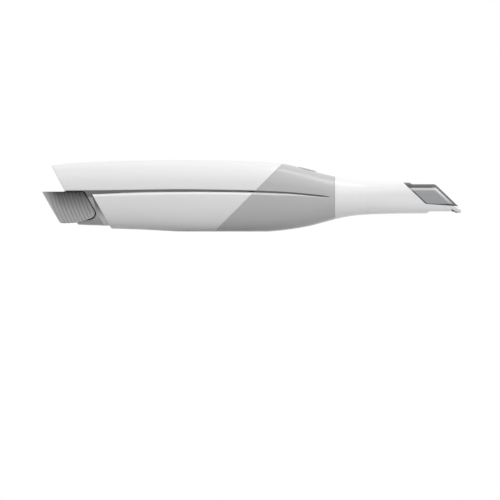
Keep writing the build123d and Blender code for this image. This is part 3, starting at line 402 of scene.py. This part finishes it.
def nose_columns(lower_columns, upper_columns):
    """Columns round the nose as (zone, share, distance, drop, floor): belly, groove, crown, then mirrored."""
    turn = np.linspace(math.pi / 2, 0, 5)
    edge = np.stack([0 * turn, 1 - np.cos(turn), 1 - np.sin(turn), 0 * turn], -1)
    groove_floor = [(0, 0, 0, 1)]

    def zone(number, rows):
        """Columns with the number of their zone in front: 0 belly, 1 lower edge, 2 upper edge, 3 crown."""
        return np.column_stack([np.full(len(rows), float(number)), rows])

    def plain(count):
        """Evenly shared columns with neither distance, drop nor floor."""
        return np.stack([np.linspace(0, 1, count)] + [np.zeros(count)] * 3, -1)

    half = np.vstack([
        zone(0, plain(lower_columns)), zone(1, edge), zone(1, groove_floor),
        zone(2, groove_floor), zone(2, edge[::-1]), zone(3, plain(upper_columns)),
    ])
    mirrored = np.concatenate([np.zeros(len(half)), np.ones(len(half) - 2)])
    return np.column_stack([np.vstack([half, half[-2:0:-1]]), mirrored])


def button_well(points):
    """Nose sunk round the button, along the button's axis: depth * clip((radius - r) / edge, 0, 1)."""
    seat_x, seat_z = side_point(AT_BUTTON)
    slope_x, slope_z = (AHEAD_OF_BUTTON - BEHIND_BUTTON) * (LENGTH, HEIGHT)
    axis = np.array([-slope_z, 0.0, slope_x]) / math.hypot(slope_x, slope_z)
    away = points - np.array([seat_x, 0.0, seat_z])
    height = away @ axis
    radial = np.linalg.norm(away - height[..., None] * axis, axis=-1)
    sink = WELL_DEPTH * np.clip((WELL_RADIUS - radial) / WELL_EDGE, 0, 1) * (height > -WELL_REACH)
    return points - sink[..., None] * axis


def nose_sleeve(rows=180, lower_columns=46, upper_columns=64):
    """Grey nose: the whole oval between the diagonal joint and the seam, with a groove on each side."""
    share, offset, row_inset = rows_between(rim(NOSE_RIM, NOSE_WALL), rim(NOSE_RIM, NOSE_WALL), rows)
    zone, part, distance, drop, bottom, mirrored = nose_columns(lower_columns, upper_columns).T
    lower_edge, upper_edge = zone == 1, zone == 2

    def section(x):
        """Angle and inset of each column at x, with the groove's lip and depth tapered towards its end."""
        upper, lower = groove_z(x)
        taper = np.clip((GROOVE_END - x / LENGTH - 0.5) / GROOVE_TAPER, 0, 1) ** GROOVE_TAPER_POWER
        lip_taper = np.clip((GROOVE_LIP_END - x / LENGTH - 0.5) / GROOVE_LIP_TAPER, GROOVE_LIP_LEAST, 1)
        lip = GROOVE_LIP_RADIUS * taper * lip_taper
        top_lip = GROOVE_TOP_RADIUS * taper
        radius = np.where(lower_edge, lip, top_lip)
        low_angle = angle_at(x, lower - GROOVE_SHOULDER * lip - GROOVE_CLEARANCE)
        up_angle = angle_at(x, upper + GROOVE_SHOULDER * top_lip + GROOVE_CLEARANCE)
        edge = np.where(lower_edge, lower - radius * distance, upper + radius * distance)
        angle = np.where(zone == 0, -math.pi / 2 + (low_angle + math.pi / 2) * part, angle_at(x, edge))
        angle = np.where(zone == 3, up_angle + (math.pi / 2 - up_angle) * part, angle)
        inset = radius * drop * (lower_edge | upper_edge) * (1 - bottom) + GROOVE_DEPTH * taper * bottom
        return np.where(mirrored > 0, math.pi - angle, angle), inset

    def start(z):
        """X of the sleeve's rear edge, a joint's gap ahead of the white shells."""
        return colour_line(z) + JOINT_GAP

    def end(z):
        """X of the seam with the tip."""
        return 0 * z + along(SEAM)

    points = button_well(settle(share, offset, start, end, section, row_inset))
    faces = grid_faces(points.shape[0], points.shape[1], closed=True)
    # Columns of the groove's lower lip take the lighter grey as a painted highlight; the groove floor takes
    # the frame's grey
    finish_of_column = np.where(bottom == 1, 2, 1 * lower_edge)
    which = finish_of_column * (points[:-1, :, 0] < along(GROOVE_PAINT_END))
    return mesh_object("nose_skin", points.reshape(-1, 3), faces, "handle", "grey_shell", ("nose_sleeve",),
                       others=(grey_lip_highlight, finishes["grey_frame"]), which=which.ravel())


def rounded_outline(points, radii, steps=8):
    """A closed outline with its corners rounded: centre + r (cos t, sin t) between the two tangent points."""
    points = np.asarray(points, float)
    path = []
    for place, radius in enumerate(radii):
        corner = points[place]
        to_last = points[place - 1] - corner
        to_next = points[(place + 1) % len(points)] - corner
        to_last, to_next = to_last / np.linalg.norm(to_last), to_next / np.linalg.norm(to_next)
        half = math.acos(np.clip(to_last @ to_next, -1, 1)) / 2
        middle = (to_last + to_next) / np.linalg.norm(to_last + to_next)
        centre = corner + middle * radius / math.sin(half)
        first = corner + to_last * radius / math.tan(half) - centre
        last = corner + to_next * radius / math.tan(half) - centre
        for t in np.linspace(0, 1, steps):
            way = first * (1 - t) + last * t
            path.append(centre + way * radius / np.linalg.norm(way))
    return np.array(path)


def outline_sides(path):
    """Rear and front stretch of an outline, each as points from its lowest to its highest."""
    count, tilt = len(path), 1e-6 * path[:, 0]
    lowest = np.argmin(path[:, 1])
    left, right = np.argmax(path[:, 1] - tilt), np.argmax(path[:, 1] + tilt)
    front = np.roll(path, -right, axis=0)[:(lowest - right) % count + 1][::-1]
    rear = np.roll(path, -lowest, axis=0)[:(left - lowest) % count + 1]
    return rear, front


grip_path = rounded_outline([side_point(corner) for corner in GRIP_CORNERS], GRIP_ROUNDING)
grip_rear_path, grip_front_path = outline_sides(grip_path)


def grip_rear(z):
    """X of the grip's rear edge at height z."""
    return np.interp(z, grip_rear_path[:, 1], grip_rear_path[:, 0])


def grip_front(z):
    """X of the grip's front edge at height z."""
    return np.interp(z, grip_front_path[:, 1], grip_front_path[:, 0])


def rib_line(fall, drop):
    """Distance of a rib's line behind its top: it bends rearwards as drop * (a * fall + b * fall^2)."""
    return drop * (RIB_SWEEP[0] * fall + RIB_SWEEP[1] * fall * fall)


def rib_wave(x, z, top, bottom):
    """Depth of the ribs at a point of the grip: depth * (1 - cos(2 pi phase)) / 2, on lines that bend."""
    fall = (top - z) / (top - bottom)
    phase = (x - along(GRIP_CORNERS[0][0]) - RIB_START - rib_line(fall, top - bottom)) / RIB_PITCH
    front = np.clip((grip_front(z) - RIB_BAND - x) / RIB_FADE, 0, 1)
    return RIB_DEPTH * (1 - np.cos(2 * math.pi * phase)) / 2 * (phase > 0) * front


def grip_skin(rows=110, side_steps=170):
    """Battery grip: plan sections with round corners, stacked from belly to top, ribs pressed into them."""
    bottom, top = grip_path[:, 1].min(), grip_path[:, 1].max()
    level = np.concatenate([np.linspace(0, 1, rows) ** 2, [1.0, 1.0]])[:, None]
    z = bottom + (top - bottom) * level
    over = np.clip((z - bottom) / GRIP_BELLY_RADIUS, 0, 1)
    half = GRIP_HALF_WIDTH - GRIP_BELLY_RADIUS * (1 - np.sqrt(1 - (1 - over) ** 2))
    rear, front = grip_rear(z), grip_front(z)

    # Plan section from the middle of the front, round its corner, along the side and round the rear corner
    front_turn = np.linspace(0, math.pi / 2, 4)
    front_x = front - GRIP_FRONT_RADIUS * (1 - np.cos(front_turn))
    front_y = half - GRIP_FRONT_RADIUS * (1 - np.sin(front_turn))
    side = np.linspace(0, 1, side_steps)[1:-1]
    side_x = (front - GRIP_FRONT_RADIUS) * (1 - side) + (rear + GRIP_REAR_RADIUS) * side
    rear_turn = np.linspace(0, math.pi / 2, 9)
    rear_x = rear + GRIP_REAR_RADIUS * (1 - np.sin(rear_turn))
    rear_y = half - GRIP_REAR_RADIUS * (1 - np.cos(rear_turn))
    x = np.hstack([front_x, side_x, rear_x])
    y = np.hstack([front_y, half + 0 * side_x, rear_y])
    wave = rib_wave(x, z + 0 * x, top, bottom)
    y = y - wave
    z = z + 0 * x - wave * np.clip((z - top + RIB_FADE) / RIB_FADE, 0, 1)

    # Crown: two rows drawn in from the top edge, which rise in front of the white shell's tail
    x[-2:] = x[-3]
    y[-2:] = y[-3]
    y[-2] -= CROWN_STEP
    y[-1] -= 2 * CROWN_STEP
    crown = CROWN_RISE * np.clip((x[-1] - along(TAIL_FOOT[0]) + CROWN_RUN / 2) / CROWN_RUN, 0, 1)
    z[-2] = top + crown / 4
    z[-1] = top + crown

    points = both_sides(x, y, z)
    rows, count = points.shape[:2]
    faces = grid_faces(rows, count, closed=True)
    faces.append(list(range(count)))
    faces += cap_faces((rows - 1) * count, count)
    return mesh_object("grip_skin", points.reshape(-1, 3), faces, "battery_pack", "grip_grey",
                       ("battery_grip",))


def bezel_skin(rows=60, columns=150):
    """Bezel round the grip: the oval form drawn in, from the grip's front edge to under the white shell."""
    share, offset, row_inset = rows_between(rim(BEZEL_FRONT_RIM, BEZEL_FRONT_WALL),
                                            rim(BEZEL_HIDDEN_RIM, BEZEL_HIDDEN_WALL), rows)
    part = np.linspace(0, 1, columns)
    top_z = BEZEL_TOP * HEIGHT
    depth = WALL + BEZEL_SINK

    def start(z):
        """X of the bezel's edge along the grip, no further back than its toe."""
        level = np.clip(z + BEZEL_SAMPLE_RISE, BEZEL_LOWEST_Z, None)
        return np.maximum(grip_front(level) + BEZEL_GAP, along(BEZEL_TOE))

    def end(z):
        """X of the bezel's hidden edge under the lower shell."""
        return lower_line(z) + BEZEL_OVERLAP

    def section(x):
        """Angle and inset of each column: depth plus a bevel that falls off from the edge along the grip."""
        begin = angle_at(x, top_z + 0 * part)
        angle = begin + (-math.pi - 2 * begin) * part
        z = oval(x, angle, depth)[..., 2]
        width = BEVEL_LEAST + BEVEL_GAIN * np.clip((z - BEVEL_FOOT_Z) / (top_z - BEVEL_FOOT_Z), 0, 1)
        return angle, depth + BEVEL_SLOPE * np.clip(width - (x - start(z)), 0, None)

    points = settle(share, offset, start, end, section, row_inset)
    faces = grid_faces(points.shape[0], points.shape[1])
    return mesh_object("bezel_skin", points.reshape(-1, 3), faces, "handle", "grey_shell", ("rear_bezel",),
                       finish=bezel_finish)


def bay_lintel():
    """Bar across the top of the battery bay, just in front of the grip: a leaning box x = front(z) + t."""
    z, t = np.meshgrid(LINTEL_HEIGHTS, LINTEL_REACH, indexing="ij")
    ring = np.stack([grip_front(z) + t, 0 * z, z], -1).reshape(-1, 3)[[0, 1, 3, 2]]
    shoulder = LINTEL_HALF_WIDTH - LINTEL_END
    places = (-LINTEL_HALF_WIDTH, -shoulder, shoulder, LINTEL_HALF_WIDTH)
    rows = ring + np.array([[[0, y, 0]] for y in places])
    middle = ring.mean(axis=0)[::2]
    rows[[0, 3], :, ::2] = middle + (rows[[0, 3]][:, :, ::2] - middle) * np.array(LINTEL_END_SHARES)
    faces = grid_faces(4, 4, closed=True) + [[0, 1, 2, 3], [12, 13, 14, 15]]
    return mesh_object("bay_lintel", rows.reshape(-1, 3), faces, "handle", "grey_frame")


def arc_drop(distance, radius):
    """Drop of a quarter round at a distance from its edge: r - sqrt(r^2 - (r - d)^2), 0 past the radius."""
    return radius - np.sqrt(radius**2 - (radius - np.clip(distance, 0, radius)) ** 2)


def cosine_steps(count):
    """Steps from 0 to 1 that are closer together at both ends: (1 - cos t) / 2."""
    return (1 - np.cos(np.linspace(0, math.pi, count))) / 2


def hood_skin(columns=90, rows=70):
    """Hood over the mirror: y = w(z) - drop(d), with d the distance to the nearest edge, drop an arc's."""
    corners = np.array([side_point(corner) for corner in HOOD_CORNERS])
    _, step, step_foot, front_top, front_foot, rear_foot = corners
    lean = (front_foot[0] - front_top[0]) / (front_top[1] - front_foot[1])
    slant = math.hypot(1, lean)
    rear, _, step_place, front, foot_front, foot_rear = corners[:, 0] + lean * corners[:, 1]
    p = (rear + HOOD_INSET + (front - rear - HOOD_INSET) * cosine_steps(columns))[:, None]
    along_foot = (p - foot_rear) / (foot_front - foot_rear)
    bottom = rear_foot[1] + (front_foot[1] - rear_foot[1]) * along_foot + HOOD_INSET
    fade = np.clip((p - step_place + HOOD_STEP_START) / HOOD_STEP_RUN, 0, 1)
    high, flat = step[1] - HOOD_REAR_SINK, step_foot[1] - HOOD_TOP_SINK
    top = high + (flat - high) * fade**2 * (3 - 2 * fade)
    top = top - arc_drop((front - p) / slant, HOOD_PEAK_RADIUS) * HOOD_PEAK_SHARE
    z = bottom + (top - bottom) * cosine_steps(rows)[None, :]
    x = p - lean * z
    half, level, rise, fall, power, _ = form_sizes(x)
    over, under = (z - level) / (rise - HOOD_SIDE_INSET), (level - z) / (fall - HOOD_SIDE_INSET)
    reach = np.clip(np.where(z > level, over, under), 0, 1)
    wide = (half - HOOD_SIDE_INSET) * (1 - reach**power) ** (1 / power)
    drop = np.maximum.reduce([
        arc_drop(top - z, HOOD_TOP_RADIUS),
        arc_drop(front - p + 0 * z, HOOD_FRONT_RADIUS),
        arc_drop((p - rear) / slant + 0 * z, HOOD_EDGE_RADIUS),
        arc_drop(z - bottom, HOOD_EDGE_RADIUS),
    ])
    points = both_sides(x, wide - drop, z)
    count = points.shape[1]
    faces = grid_faces(columns, count) + cap_faces((columns - 1) * count, count)
    piece = mesh_object("hood_skin", points.reshape(-1, 3), faces, "tip", "grey_hood", ("tip_hood",))
    wall = piece.modifiers.new("wall", "SOLIDIFY")
    wall.thickness = HOOD_WALL * MILLIMETRE
    wall.offset = -1.0
    return piece


# Sockets of a Mix node that is set to colour
MIX_FACTOR, MIX_FIRST, MIX_SECOND, MIX_RESULT = 0, 6, 7, 2

# Scale and detail of the slow changes over a piece, and the height of the fine grain in metres
BROAD_NOISE = (60.0, 3.0)
GRAIN_HEIGHT = 0.00004


def add_node(tree, kind, values=(), links=(), **settings):
    """A node of a tree: its settings first, then its plain input values and its linked inputs."""
    made = tree.nodes.new(kind)
    for name, value in settings.items():
        setattr(made, name, value)
    for name, value in dict(values).items():
        made.inputs[name].default_value = value
    for name, source in dict(links).items():
        tree.links.new(source.socket if isinstance(source, Maths) else source, made.inputs[name])
    return made


def maths_node(tree, operation, *parts, **settings):
    """The result of a Math node whose inputs are plain numbers or values that change over the surface."""
    numbers = {place: part for place, part in enumerate(parts) if not isinstance(part, Maths)}
    sockets = {place: part for place, part in enumerate(parts) if isinstance(part, Maths)}
    made = add_node(tree, "ShaderNodeMath", numbers, sockets, operation=operation, **settings)
    return Maths(tree, made.outputs[0])


class Maths:
    """A shader socket that adds, subtracts, multiplies and divides by writing ordinary sums."""

    def __init__(self, tree, socket):
        self.tree = tree
        self.socket = socket

    def apply(self, operation, *others, **settings):
        """The result of a Math node on this value and any others."""
        return maths_node(self.tree, operation, self, *others, **settings)

    def limited(self):
        """The same value kept between 0 and 1."""
        return self.apply("ADD", 0.0, use_clamp=True)

    def __add__(self, other):
        return self.apply("ADD", other)

    def __sub__(self, other):
        return self.apply("SUBTRACT", other)

    def __rsub__(self, other):
        return maths_node(self.tree, "SUBTRACT", other, self)

    def __mul__(self, other):
        return self.apply("MULTIPLY", other)

    def __truediv__(self, other):
        return self.apply("DIVIDE", other)

    def __rtruediv__(self, other):
        return maths_node(self.tree, "DIVIDE", other, self)

    __radd__ = __add__
    __rmul__ = __mul__


class Finish:
    """A material with one Principled shader and short ways to make its patterns."""

    def __init__(self, name, colour, roughness, metallic=0.0, coat=0.0):
        self.material = bpy.data.materials.new(name)
        self.material.use_nodes = True
        self.tree = self.material.node_tree
        self.shader = self.tree.nodes["Principled BSDF"]
        self.shader.inputs["Base Color"].default_value = (*colour, 1.0)
        self.shader.inputs["Roughness"].default_value = roughness
        self.shader.inputs["Metallic"].default_value = metallic
        self.shader.inputs["Coat Weight"].default_value = coat
        self.coordinates = self.node("ShaderNodeTexCoord").outputs["Object"]

    def node(self, kind, values=(), links=(), **settings):
        """Any node of this material."""
        return add_node(self.tree, kind, values, links, **settings)

    def side_view(self):
        """X and Z over the piece, in millimetres."""
        split = self.node("ShaderNodeSeparateXYZ", links={"Vector": self.coordinates})
        return [Maths(self.tree, split.outputs[name]) * (1 / MILLIMETRE) for name in "XZ"]

    def noise(self, scale, detail):
        """Noise over the object's own coordinates, from 0 to 1."""
        values = {"Scale": scale, "Detail": detail}
        made = self.node("ShaderNodeTexNoise", values, {"Vector": self.coordinates})
        return Maths(self.tree, made.outputs[0])

    def blend(self, amount, first, second):
        """Colour between two by an amount; the first may be a colour or the result of another blend."""
        values, links = {MIX_SECOND: (*second, 1.0)}, {MIX_FACTOR: amount}
        if isinstance(first, tuple):
            values[MIX_FIRST] = (*first, 1.0)
        else:
            links[MIX_FIRST] = first
        return self.node("ShaderNodeMix", values, links, data_type="RGBA").outputs[MIX_RESULT]

    def feed(self, name, source):
        """Link a value or a colour to the shader."""
        self.tree.links.new(source.socket if isinstance(source, Maths) else source, self.shader.inputs[name])

    def bump(self, height, strength, distance):
        """Relief that tilts the shader's normal, from a height of 0 to 1 and a distance in metres."""
        made = self.node("ShaderNodeBump", {"Strength": strength, "Distance": distance}, {"Height": height})
        self.feed("Normal", made.outputs[0])

    def dress(self, colour, roughness, grain, strength, distance=GRAIN_HEIGHT, swing=0.08):
        """Feed a colour, a roughness that rises by up to the swing, and a fine grain; gives the material."""
        self.feed("Base Color", colour)
        self.feed("Roughness", roughness + self.noise(*BROAD_NOISE) * swing)
        self.bump(self.noise(grain, 2.0), strength, distance)
        return self.material


def moulded(name, colour, roughness, grain=1400.0, strength=0.12, shade=0.03, coat=0.0):
    """Moulded plastic: a fine grain, slight changes of tone and of gloss."""
    made = Finish(name, colour, roughness, coat=coat)
    darker = tuple(part * (1 - shade) for part in colour)
    tone = made.blend(made.noise(*BROAD_NOISE), colour, darker)
    return made.dress(tone, roughness - 0.04, grain, strength)


def metal(name, colour, roughness, grain=900.0):
    """Machined or rolled metal with faint variation of gloss."""
    made = Finish(name, colour, roughness, metallic=1.0)
    fine = made.noise(grain, 3.0)
    made.feed("Roughness", roughness - 0.05 + fine * 0.1)
    made.bump(fine, 0.08, 0.00002)
    return made.material


def grip_paint():
    """Grip: satin grey with painted light: a shadow darkest under the shell, a reflection lighter towards the
    belly, a highlight at the rear edge, shade between ribs.
    """
    shadow_start_z, shadow_rise, rear_highlight_band = 7.0, 19.0, 8.0
    made = Finish("grip_grey", (0.2, 0.2, 0.2), 0.40, metallic=0.25)
    x, z = made.side_view()
    (rear_x, rear_z), (heel_x, heel_z) = side_point(GRIP_CORNERS[0]), side_point(GRIP_CORNERS[4])
    drop = rear_z - heel_z
    lean = (heel_x - rear_x) / drop
    inward = (x - rear_x + (z - rear_z) * lean) * math.cos(math.atan(lean))
    # Painted shadow of the shell above and painted reflection of the floor: darkest at the top, lighter
    # towards the belly
    tone = made.blend(((z - shadow_start_z) / shadow_rise).limited(), (0.56, 0.56, 0.56), (0.05, 0.05, 0.05))
    # Painted highlight along the rounded rear edge
    rear = ((rear_highlight_band - inward) / rear_highlight_band).limited()
    tone = made.blend(rear * (0.6 + rear * 0.4), tone, (0.50, 0.50, 0.50))
    # Painted shade in the valleys between the ribs
    phase = (x - rear_x - RIB_START - rib_line((rear_z - z) / drop, drop)) / RIB_PITCH
    valley_shade = (0.5 - (phase * 2 * math.pi).apply("COSINE") * 0.5) * (phase * 4.0).limited()
    tone = made.blend(valley_shade * 0.24, tone, (0.02, 0.02, 0.02))
    return made.dress(tone, 0.36, 1400.0, 0.10)


def bezel_paint():
    """Bezel: painted shade darkens it towards its top and the shell, and a painted highlight lightens the
    bevel along the grip's front edge.
    """
    shadow_start_z, shadow_rise, bevel_rise, bevel_softness = 7.0, 14.0, 9.8, 0.35
    shade_width, shade_z, shade_rise = 5.5, 8.5, 8.0
    made = Finish("grey_bezel", (0.4, 0.4, 0.4), 0.36)
    x, z = made.side_view()
    (top_x, top_z), (toe_x, toe_z) = side_point(GRIP_CORNERS[1]), side_point(GRIP_CORNERS[2])
    lean = (toe_x - top_x) / (top_z - toe_z)
    # Painted highlight on the bevel along the grip's front edge, which faces rearwards
    away = x - top_x - BEZEL_GAP - (top_z - z) * lean
    width = ((z - BEVEL_FOOT_Z) / bevel_rise).limited() * BEVEL_GAIN + BEVEL_LEAST
    bevel_highlight = ((width - away) / bevel_softness).limited()
    # Painted shadow of the white shell: lighter low down, darker towards the top
    tone = made.blend(((z - shadow_start_z) / shadow_rise).limited(), (0.78, 0.775, 0.77), (0.14, 0.14, 0.14))
    # Painted shade beside the lower shell's rear edge, deepest high up
    near_shell = ((x - lower_line(z) + shade_width) / shade_width).limited()
    shade = near_shell * ((z - shade_z) / shade_rise).limited()
    tone = made.blend(shade * 0.75, tone, (0.06, 0.06, 0.06))
    tone = made.blend(bevel_highlight, tone, (0.46, 0.46, 0.465))
    return made.dress(tone, 0.34, 1400.0, 0.08)


def hood_paint():
    """Hood: a painted dark reflection along the rounded top and front edges, painted shade along the rear and
    foot, a painted highlight line where the roundings end and a mid grey face.
    """
    front_allowance, reflection_band, band_softness, foot_shade_band = 1.1, 2.2, 0.6, 0.5
    line_place, line_softness, line_width, line_fade = 3.3, 0.8, 1.3, 7.0
    made = Finish("grey_hood", (0.34, 0.345, 0.35), 0.34, coat=0.2)
    x, z = made.side_view()
    corners = [side_point(corner) for corner in HOOD_CORNERS]
    front_top, front_foot, rear_foot = corners[3:]
    lean = (front_foot[0] - front_top[0]) / (front_top[1] - front_foot[1])
    slant = math.hypot(1, lean)
    ahead = (front_top[0] + lean * front_top[1] - x - lean * z) / slant
    behind = (x + lean * z - rear_foot[0] - lean * rear_foot[1]) / slant
    under = z - (front_foot[1] + rear_foot[1]) / 2
    outer = (ahead + front_allowance).apply("MINIMUM", front_top[1] - z)
    inner = behind.apply("MINIMUM", under)
    # Mid grey face inside a painted dark reflection on the top and front roundings and painted shade along
    # the rear edge and the foot
    face = ((outer - reflection_band) / band_softness).limited() * ((inner - foot_shade_band) / band_softness).limited()
    # Painted highlight line where the top and front roundings end
    highlight_line = (line_width - ((outer - line_place) / line_softness).apply("ABSOLUTE")).limited()
    tone = made.blend(face, (0.055, 0.057, 0.06), (0.33, 0.335, 0.34))
    tone = made.blend(highlight_line * (under / line_fade).limited() * 0.52, tone, (0.85, 0.85, 0.86))
    return made.dress(tone, 0.30, 1800.0, 0.05, 0.00003)


def tip_paint():
    """White tip sleeve, with a painted dark line in the notch under the end: the notch's shade and the
    mirror's dark lower edge seen in it.
    """
    white = (0.825, 0.825, 0.835)
    made = Finish("white_tip", white, 0.24, coat=0.3)
    x, z = made.side_view()
    across = ((x - NOTCH[0]) * NOTCH_NORMAL[0] + (z - NOTCH[1]) * NOTCH_NORMAL[1]).apply("ABSOLUTE")
    beside = (x - NOTCH_MIDDLE_X).apply("ABSOLUTE")
    # Painted dark line: the shade in the notch and the mirror's dark lower edge seen in it
    painted_notch = ((NOTCH_HALF_WIDTH - across) / NOTCH_SOFTNESS).limited()
    painted_notch = painted_notch * ((NOTCH_HALF_LENGTH - beside) / NOTCH_SOFTNESS).limited()
    tone = made.blend(made.noise(*BROAD_NOISE), white, (0.815, 0.815, 0.825))
    tone = made.blend(painted_notch, tone, (0.03, 0.03, 0.03))
    return made.dress(tone, 0.21, 2400.0, 0.04, swing=0.06)


PLASTICS = {
    "white_shell": dict(colour=(0.82, 0.815, 0.825), roughness=0.34, grain=2200.0, strength=0.05,
                        shade=0.012, coat=0.15),
    "grey_shell": dict(colour=(0.49, 0.49, 0.495), roughness=0.30, coat=0.25),
    "grey_frame": dict(colour=(0.16, 0.165, 0.17), roughness=0.5),
    "black_plastic": dict(colour=(0.02, 0.02, 0.02), roughness=0.45),
    "ceramic": dict(colour=(0.70, 0.68, 0.60), roughness=0.5),
    "green_board": dict(colour=(0.01, 0.09, 0.035), roughness=0.3, coat=0.4),
    "amber_film": dict(colour=(0.35, 0.13, 0.02), roughness=0.35),
    "seal_rubber": dict(colour=(0.02, 0.02, 0.02), roughness=0.7),
    "lens_glass": dict(colour=(0.55, 0.68, 0.74), roughness=0.06, coat=1.0),
}
METALS = {
    "aluminium": dict(colour=(0.70, 0.71, 0.72), roughness=0.38),
    "spring_steel": dict(colour=(0.62, 0.62, 0.61), roughness=0.28),
    "screw_steel": dict(colour=(0.45, 0.45, 0.46), roughness=0.32),
    "gold": dict(colour=(0.80, 0.58, 0.22), roughness=0.25),
    "copper": dict(colour=(0.72, 0.33, 0.16), roughness=0.35),
    "mirror": dict(colour=(0.92, 0.93, 0.94), roughness=0.04),
}
finishes = {name: moulded(name, **look) for name, look in PLASTICS.items()}
finishes.update({name: metal(name, **look) for name, look in METALS.items()})
finishes.update({"grip_grey": grip_paint(), "grey_hood": hood_paint(), "white_tip": tip_paint()})
bezel_finish = bezel_paint()
# Lighter copies of the white and of the grey: painted highlights on the lower shell's lip and on the nose
# groove's lower lip
white_lip_highlight = moulded("white_lip_highlight", (0.95, 0.95, 0.95), 0.25, grain=2200.0, strength=0.03, shade=0.010, coat=0.3)
grey_lip_highlight = moulded("grey_lip_highlight", (0.72, 0.72, 0.725), 0.28, coat=0.3)

# Nodes that are shown as they are: smooth up to an angle, each in the finish of its slot
EDGE_ANGLE = 28
slot_of = {row["node"]: row["material_slot"] for row in frame["record"]["subparts"]}
for node_name, node_object in frame["nodes"].items():
    node_object.data.materials.clear()
    node_object.data.materials.append(finishes[slot_of[node_name]])
    node_object.data.polygons.foreach_set("use_smooth", [True] * len(node_object.data.polygons))
    edges = node_object.modifiers.new("edges", "EDGE_SPLIT")
    edges.split_angle = math.radians(EDGE_ANGLE)

# Mirror: silvered on the face that looks down and back, black on its rear and its edges
MIRROR_FACING = -1.2
mirror_mesh = frame["nodes"]["tip_mirror"].data
mirror_mesh.materials.append(finishes["black_plastic"])
for face in mirror_mesh.polygons:
    face.material_index = 0 if face.normal.x + face.normal.z < MIRROR_FACING else 1

# Skins
half_shell("upper_skin", ("top_shell",), upper=True, start=tail_line, radius=UPPER_SIDE_RIM, rows=130)
half_shell("lower_skin", ("bottom_shell",), upper=False, start=lower_line, radius=LOWER_SIDE_RIM, rows=90)
nose_sleeve()
grip_skin()
bezel_skin()
bay_lintel()
hood_skin()

# Stage, in metres: a pale floor that polished faces see as white, and a white surround
FLOOR_HALF = 6.0
SOFT_LIGHT = 0.64
WHITE = (1.0, 1.0, 1.0, 1.0)
floor_mesh = bpy.data.meshes.new("floor")
floor_corners = [(-1, -1), (1, -1), (1, 1), (-1, 1)]
floor_mesh.from_pydata([(x * FLOOR_HALF, y * FLOOR_HALF, 0) for x, y in floor_corners], [], [(0, 1, 2, 3)])
floor = bpy.data.objects.new("floor", floor_mesh)
bpy.context.scene.collection.objects.link(floor)
floor_finish = Finish("floor", (0.62, 0.62, 0.62), 0.9)
floor_mesh.materials.append(floor_finish.material)
floor_paths = floor_finish.node("ShaderNodeLightPath")
floor_white = floor_finish.node("ShaderNodeEmission")
floor_mix = floor_finish.node("ShaderNodeMixShader", links={
    0: floor_paths.outputs["Is Glossy Ray"],
    1: floor_finish.shader.outputs[0],
    2: floor_white.outputs[0],
})
floor_finish.tree.links.new(floor_mix.outputs[0], floor_finish.tree.nodes["Material Output"].inputs[0])

world = bpy.data.worlds.new("studio")
bpy.context.scene.world = world
world.use_nodes = True
world_tree = world.node_tree
world_tree.nodes.clear()
paths = add_node(world_tree, "ShaderNodeLightPath")
seen = sum(
    (Maths(world_tree, paths.outputs[f"Is {kind} Ray"]) for kind in ("Glossy", "Transmission")),
    Maths(world_tree, paths.outputs["Is Camera Ray"]),
)
soft = add_node(world_tree, "ShaderNodeBackground", {"Color": WHITE, "Strength": SOFT_LIGHT})
plain = add_node(world_tree, "ShaderNodeBackground", {"Color": WHITE, "Strength": 1.0})
world_mix = add_node(world_tree, "ShaderNodeMixShader", links={
    0: seen.limited(), 1: soft.outputs[0], 2: plain.outputs[0],
})
add_node(world_tree, "ShaderNodeOutputWorld", links={"Surface": world_mix.outputs[0]})

# Lamps: name, place, size in metres, power in watts
LAMPS = [
    ("front_wide", (0.0, -0.8, 0.7), (1.5, 0.9), 2.9),
    ("nose_above", (0.5, -0.1, 0.9), (0.3, 0.8), 2.6),
    ("nose_front", (0.55, -0.35, 0.8), (0.25, 0.3), 0.97),
    ("back_high", (0.0, 0.5, 0.9), (1.6, 0.4), 0.5),
]
LAMP_AIM = Vector((0.0, 0.0, 0.02))


def lamp(name, place, size, power):
    """A soft lamp at a place, aimed at the middle of the object."""
    light = bpy.data.lights.new(name, "AREA")
    light.shape = "RECTANGLE"
    light.size, light.size_y = size
    light.energy = power
    made = bpy.data.objects.new(name, light)
    bpy.context.scene.collection.objects.link(made)
    made.location = place
    made.rotation_euler = (LAMP_AIM - Vector(place)).to_track_quat("-Z", "Y").to_euler()


for name, place, size, power in LAMPS:
    lamp(name, place, size, power)

# Camera, from pixels of the photograph: its frame, the object's length, the object's middle and the floor
FRAME_PIXELS = 500
OBJECT_PIXELS = 419.7
OBJECT_MIDDLE_PIXEL = 251.65
FLOOR_PIXEL = 231.5
PIXEL = LENGTH / OBJECT_PIXELS * MILLIMETRE
frame_width = FRAME_PIXELS * PIXEL
camera_data = bpy.data.cameras.new("camera")
camera_data.sensor_width = 36.0
camera_data.lens = 900.0
camera_data.clip_start = 1.0
camera_data.clip_end = 80.0
camera_data.shift_y = (FLOOR_PIXEL - FRAME_PIXELS / 2) * PIXEL / frame_width
camera = bpy.data.objects.new("camera", camera_data)
bpy.context.scene.collection.objects.link(camera)
distance = frame_width * camera_data.lens / camera_data.sensor_width
camera.location = ((FRAME_PIXELS / 2 - OBJECT_MIDDLE_PIXEL) * PIXEL, -distance, 0.0)
camera.rotation_euler = (math.pi / 2, 0, 0)
bpy.context.scene.camera = camera
bpy.context.scene.view_settings.view_transform = "Standard"
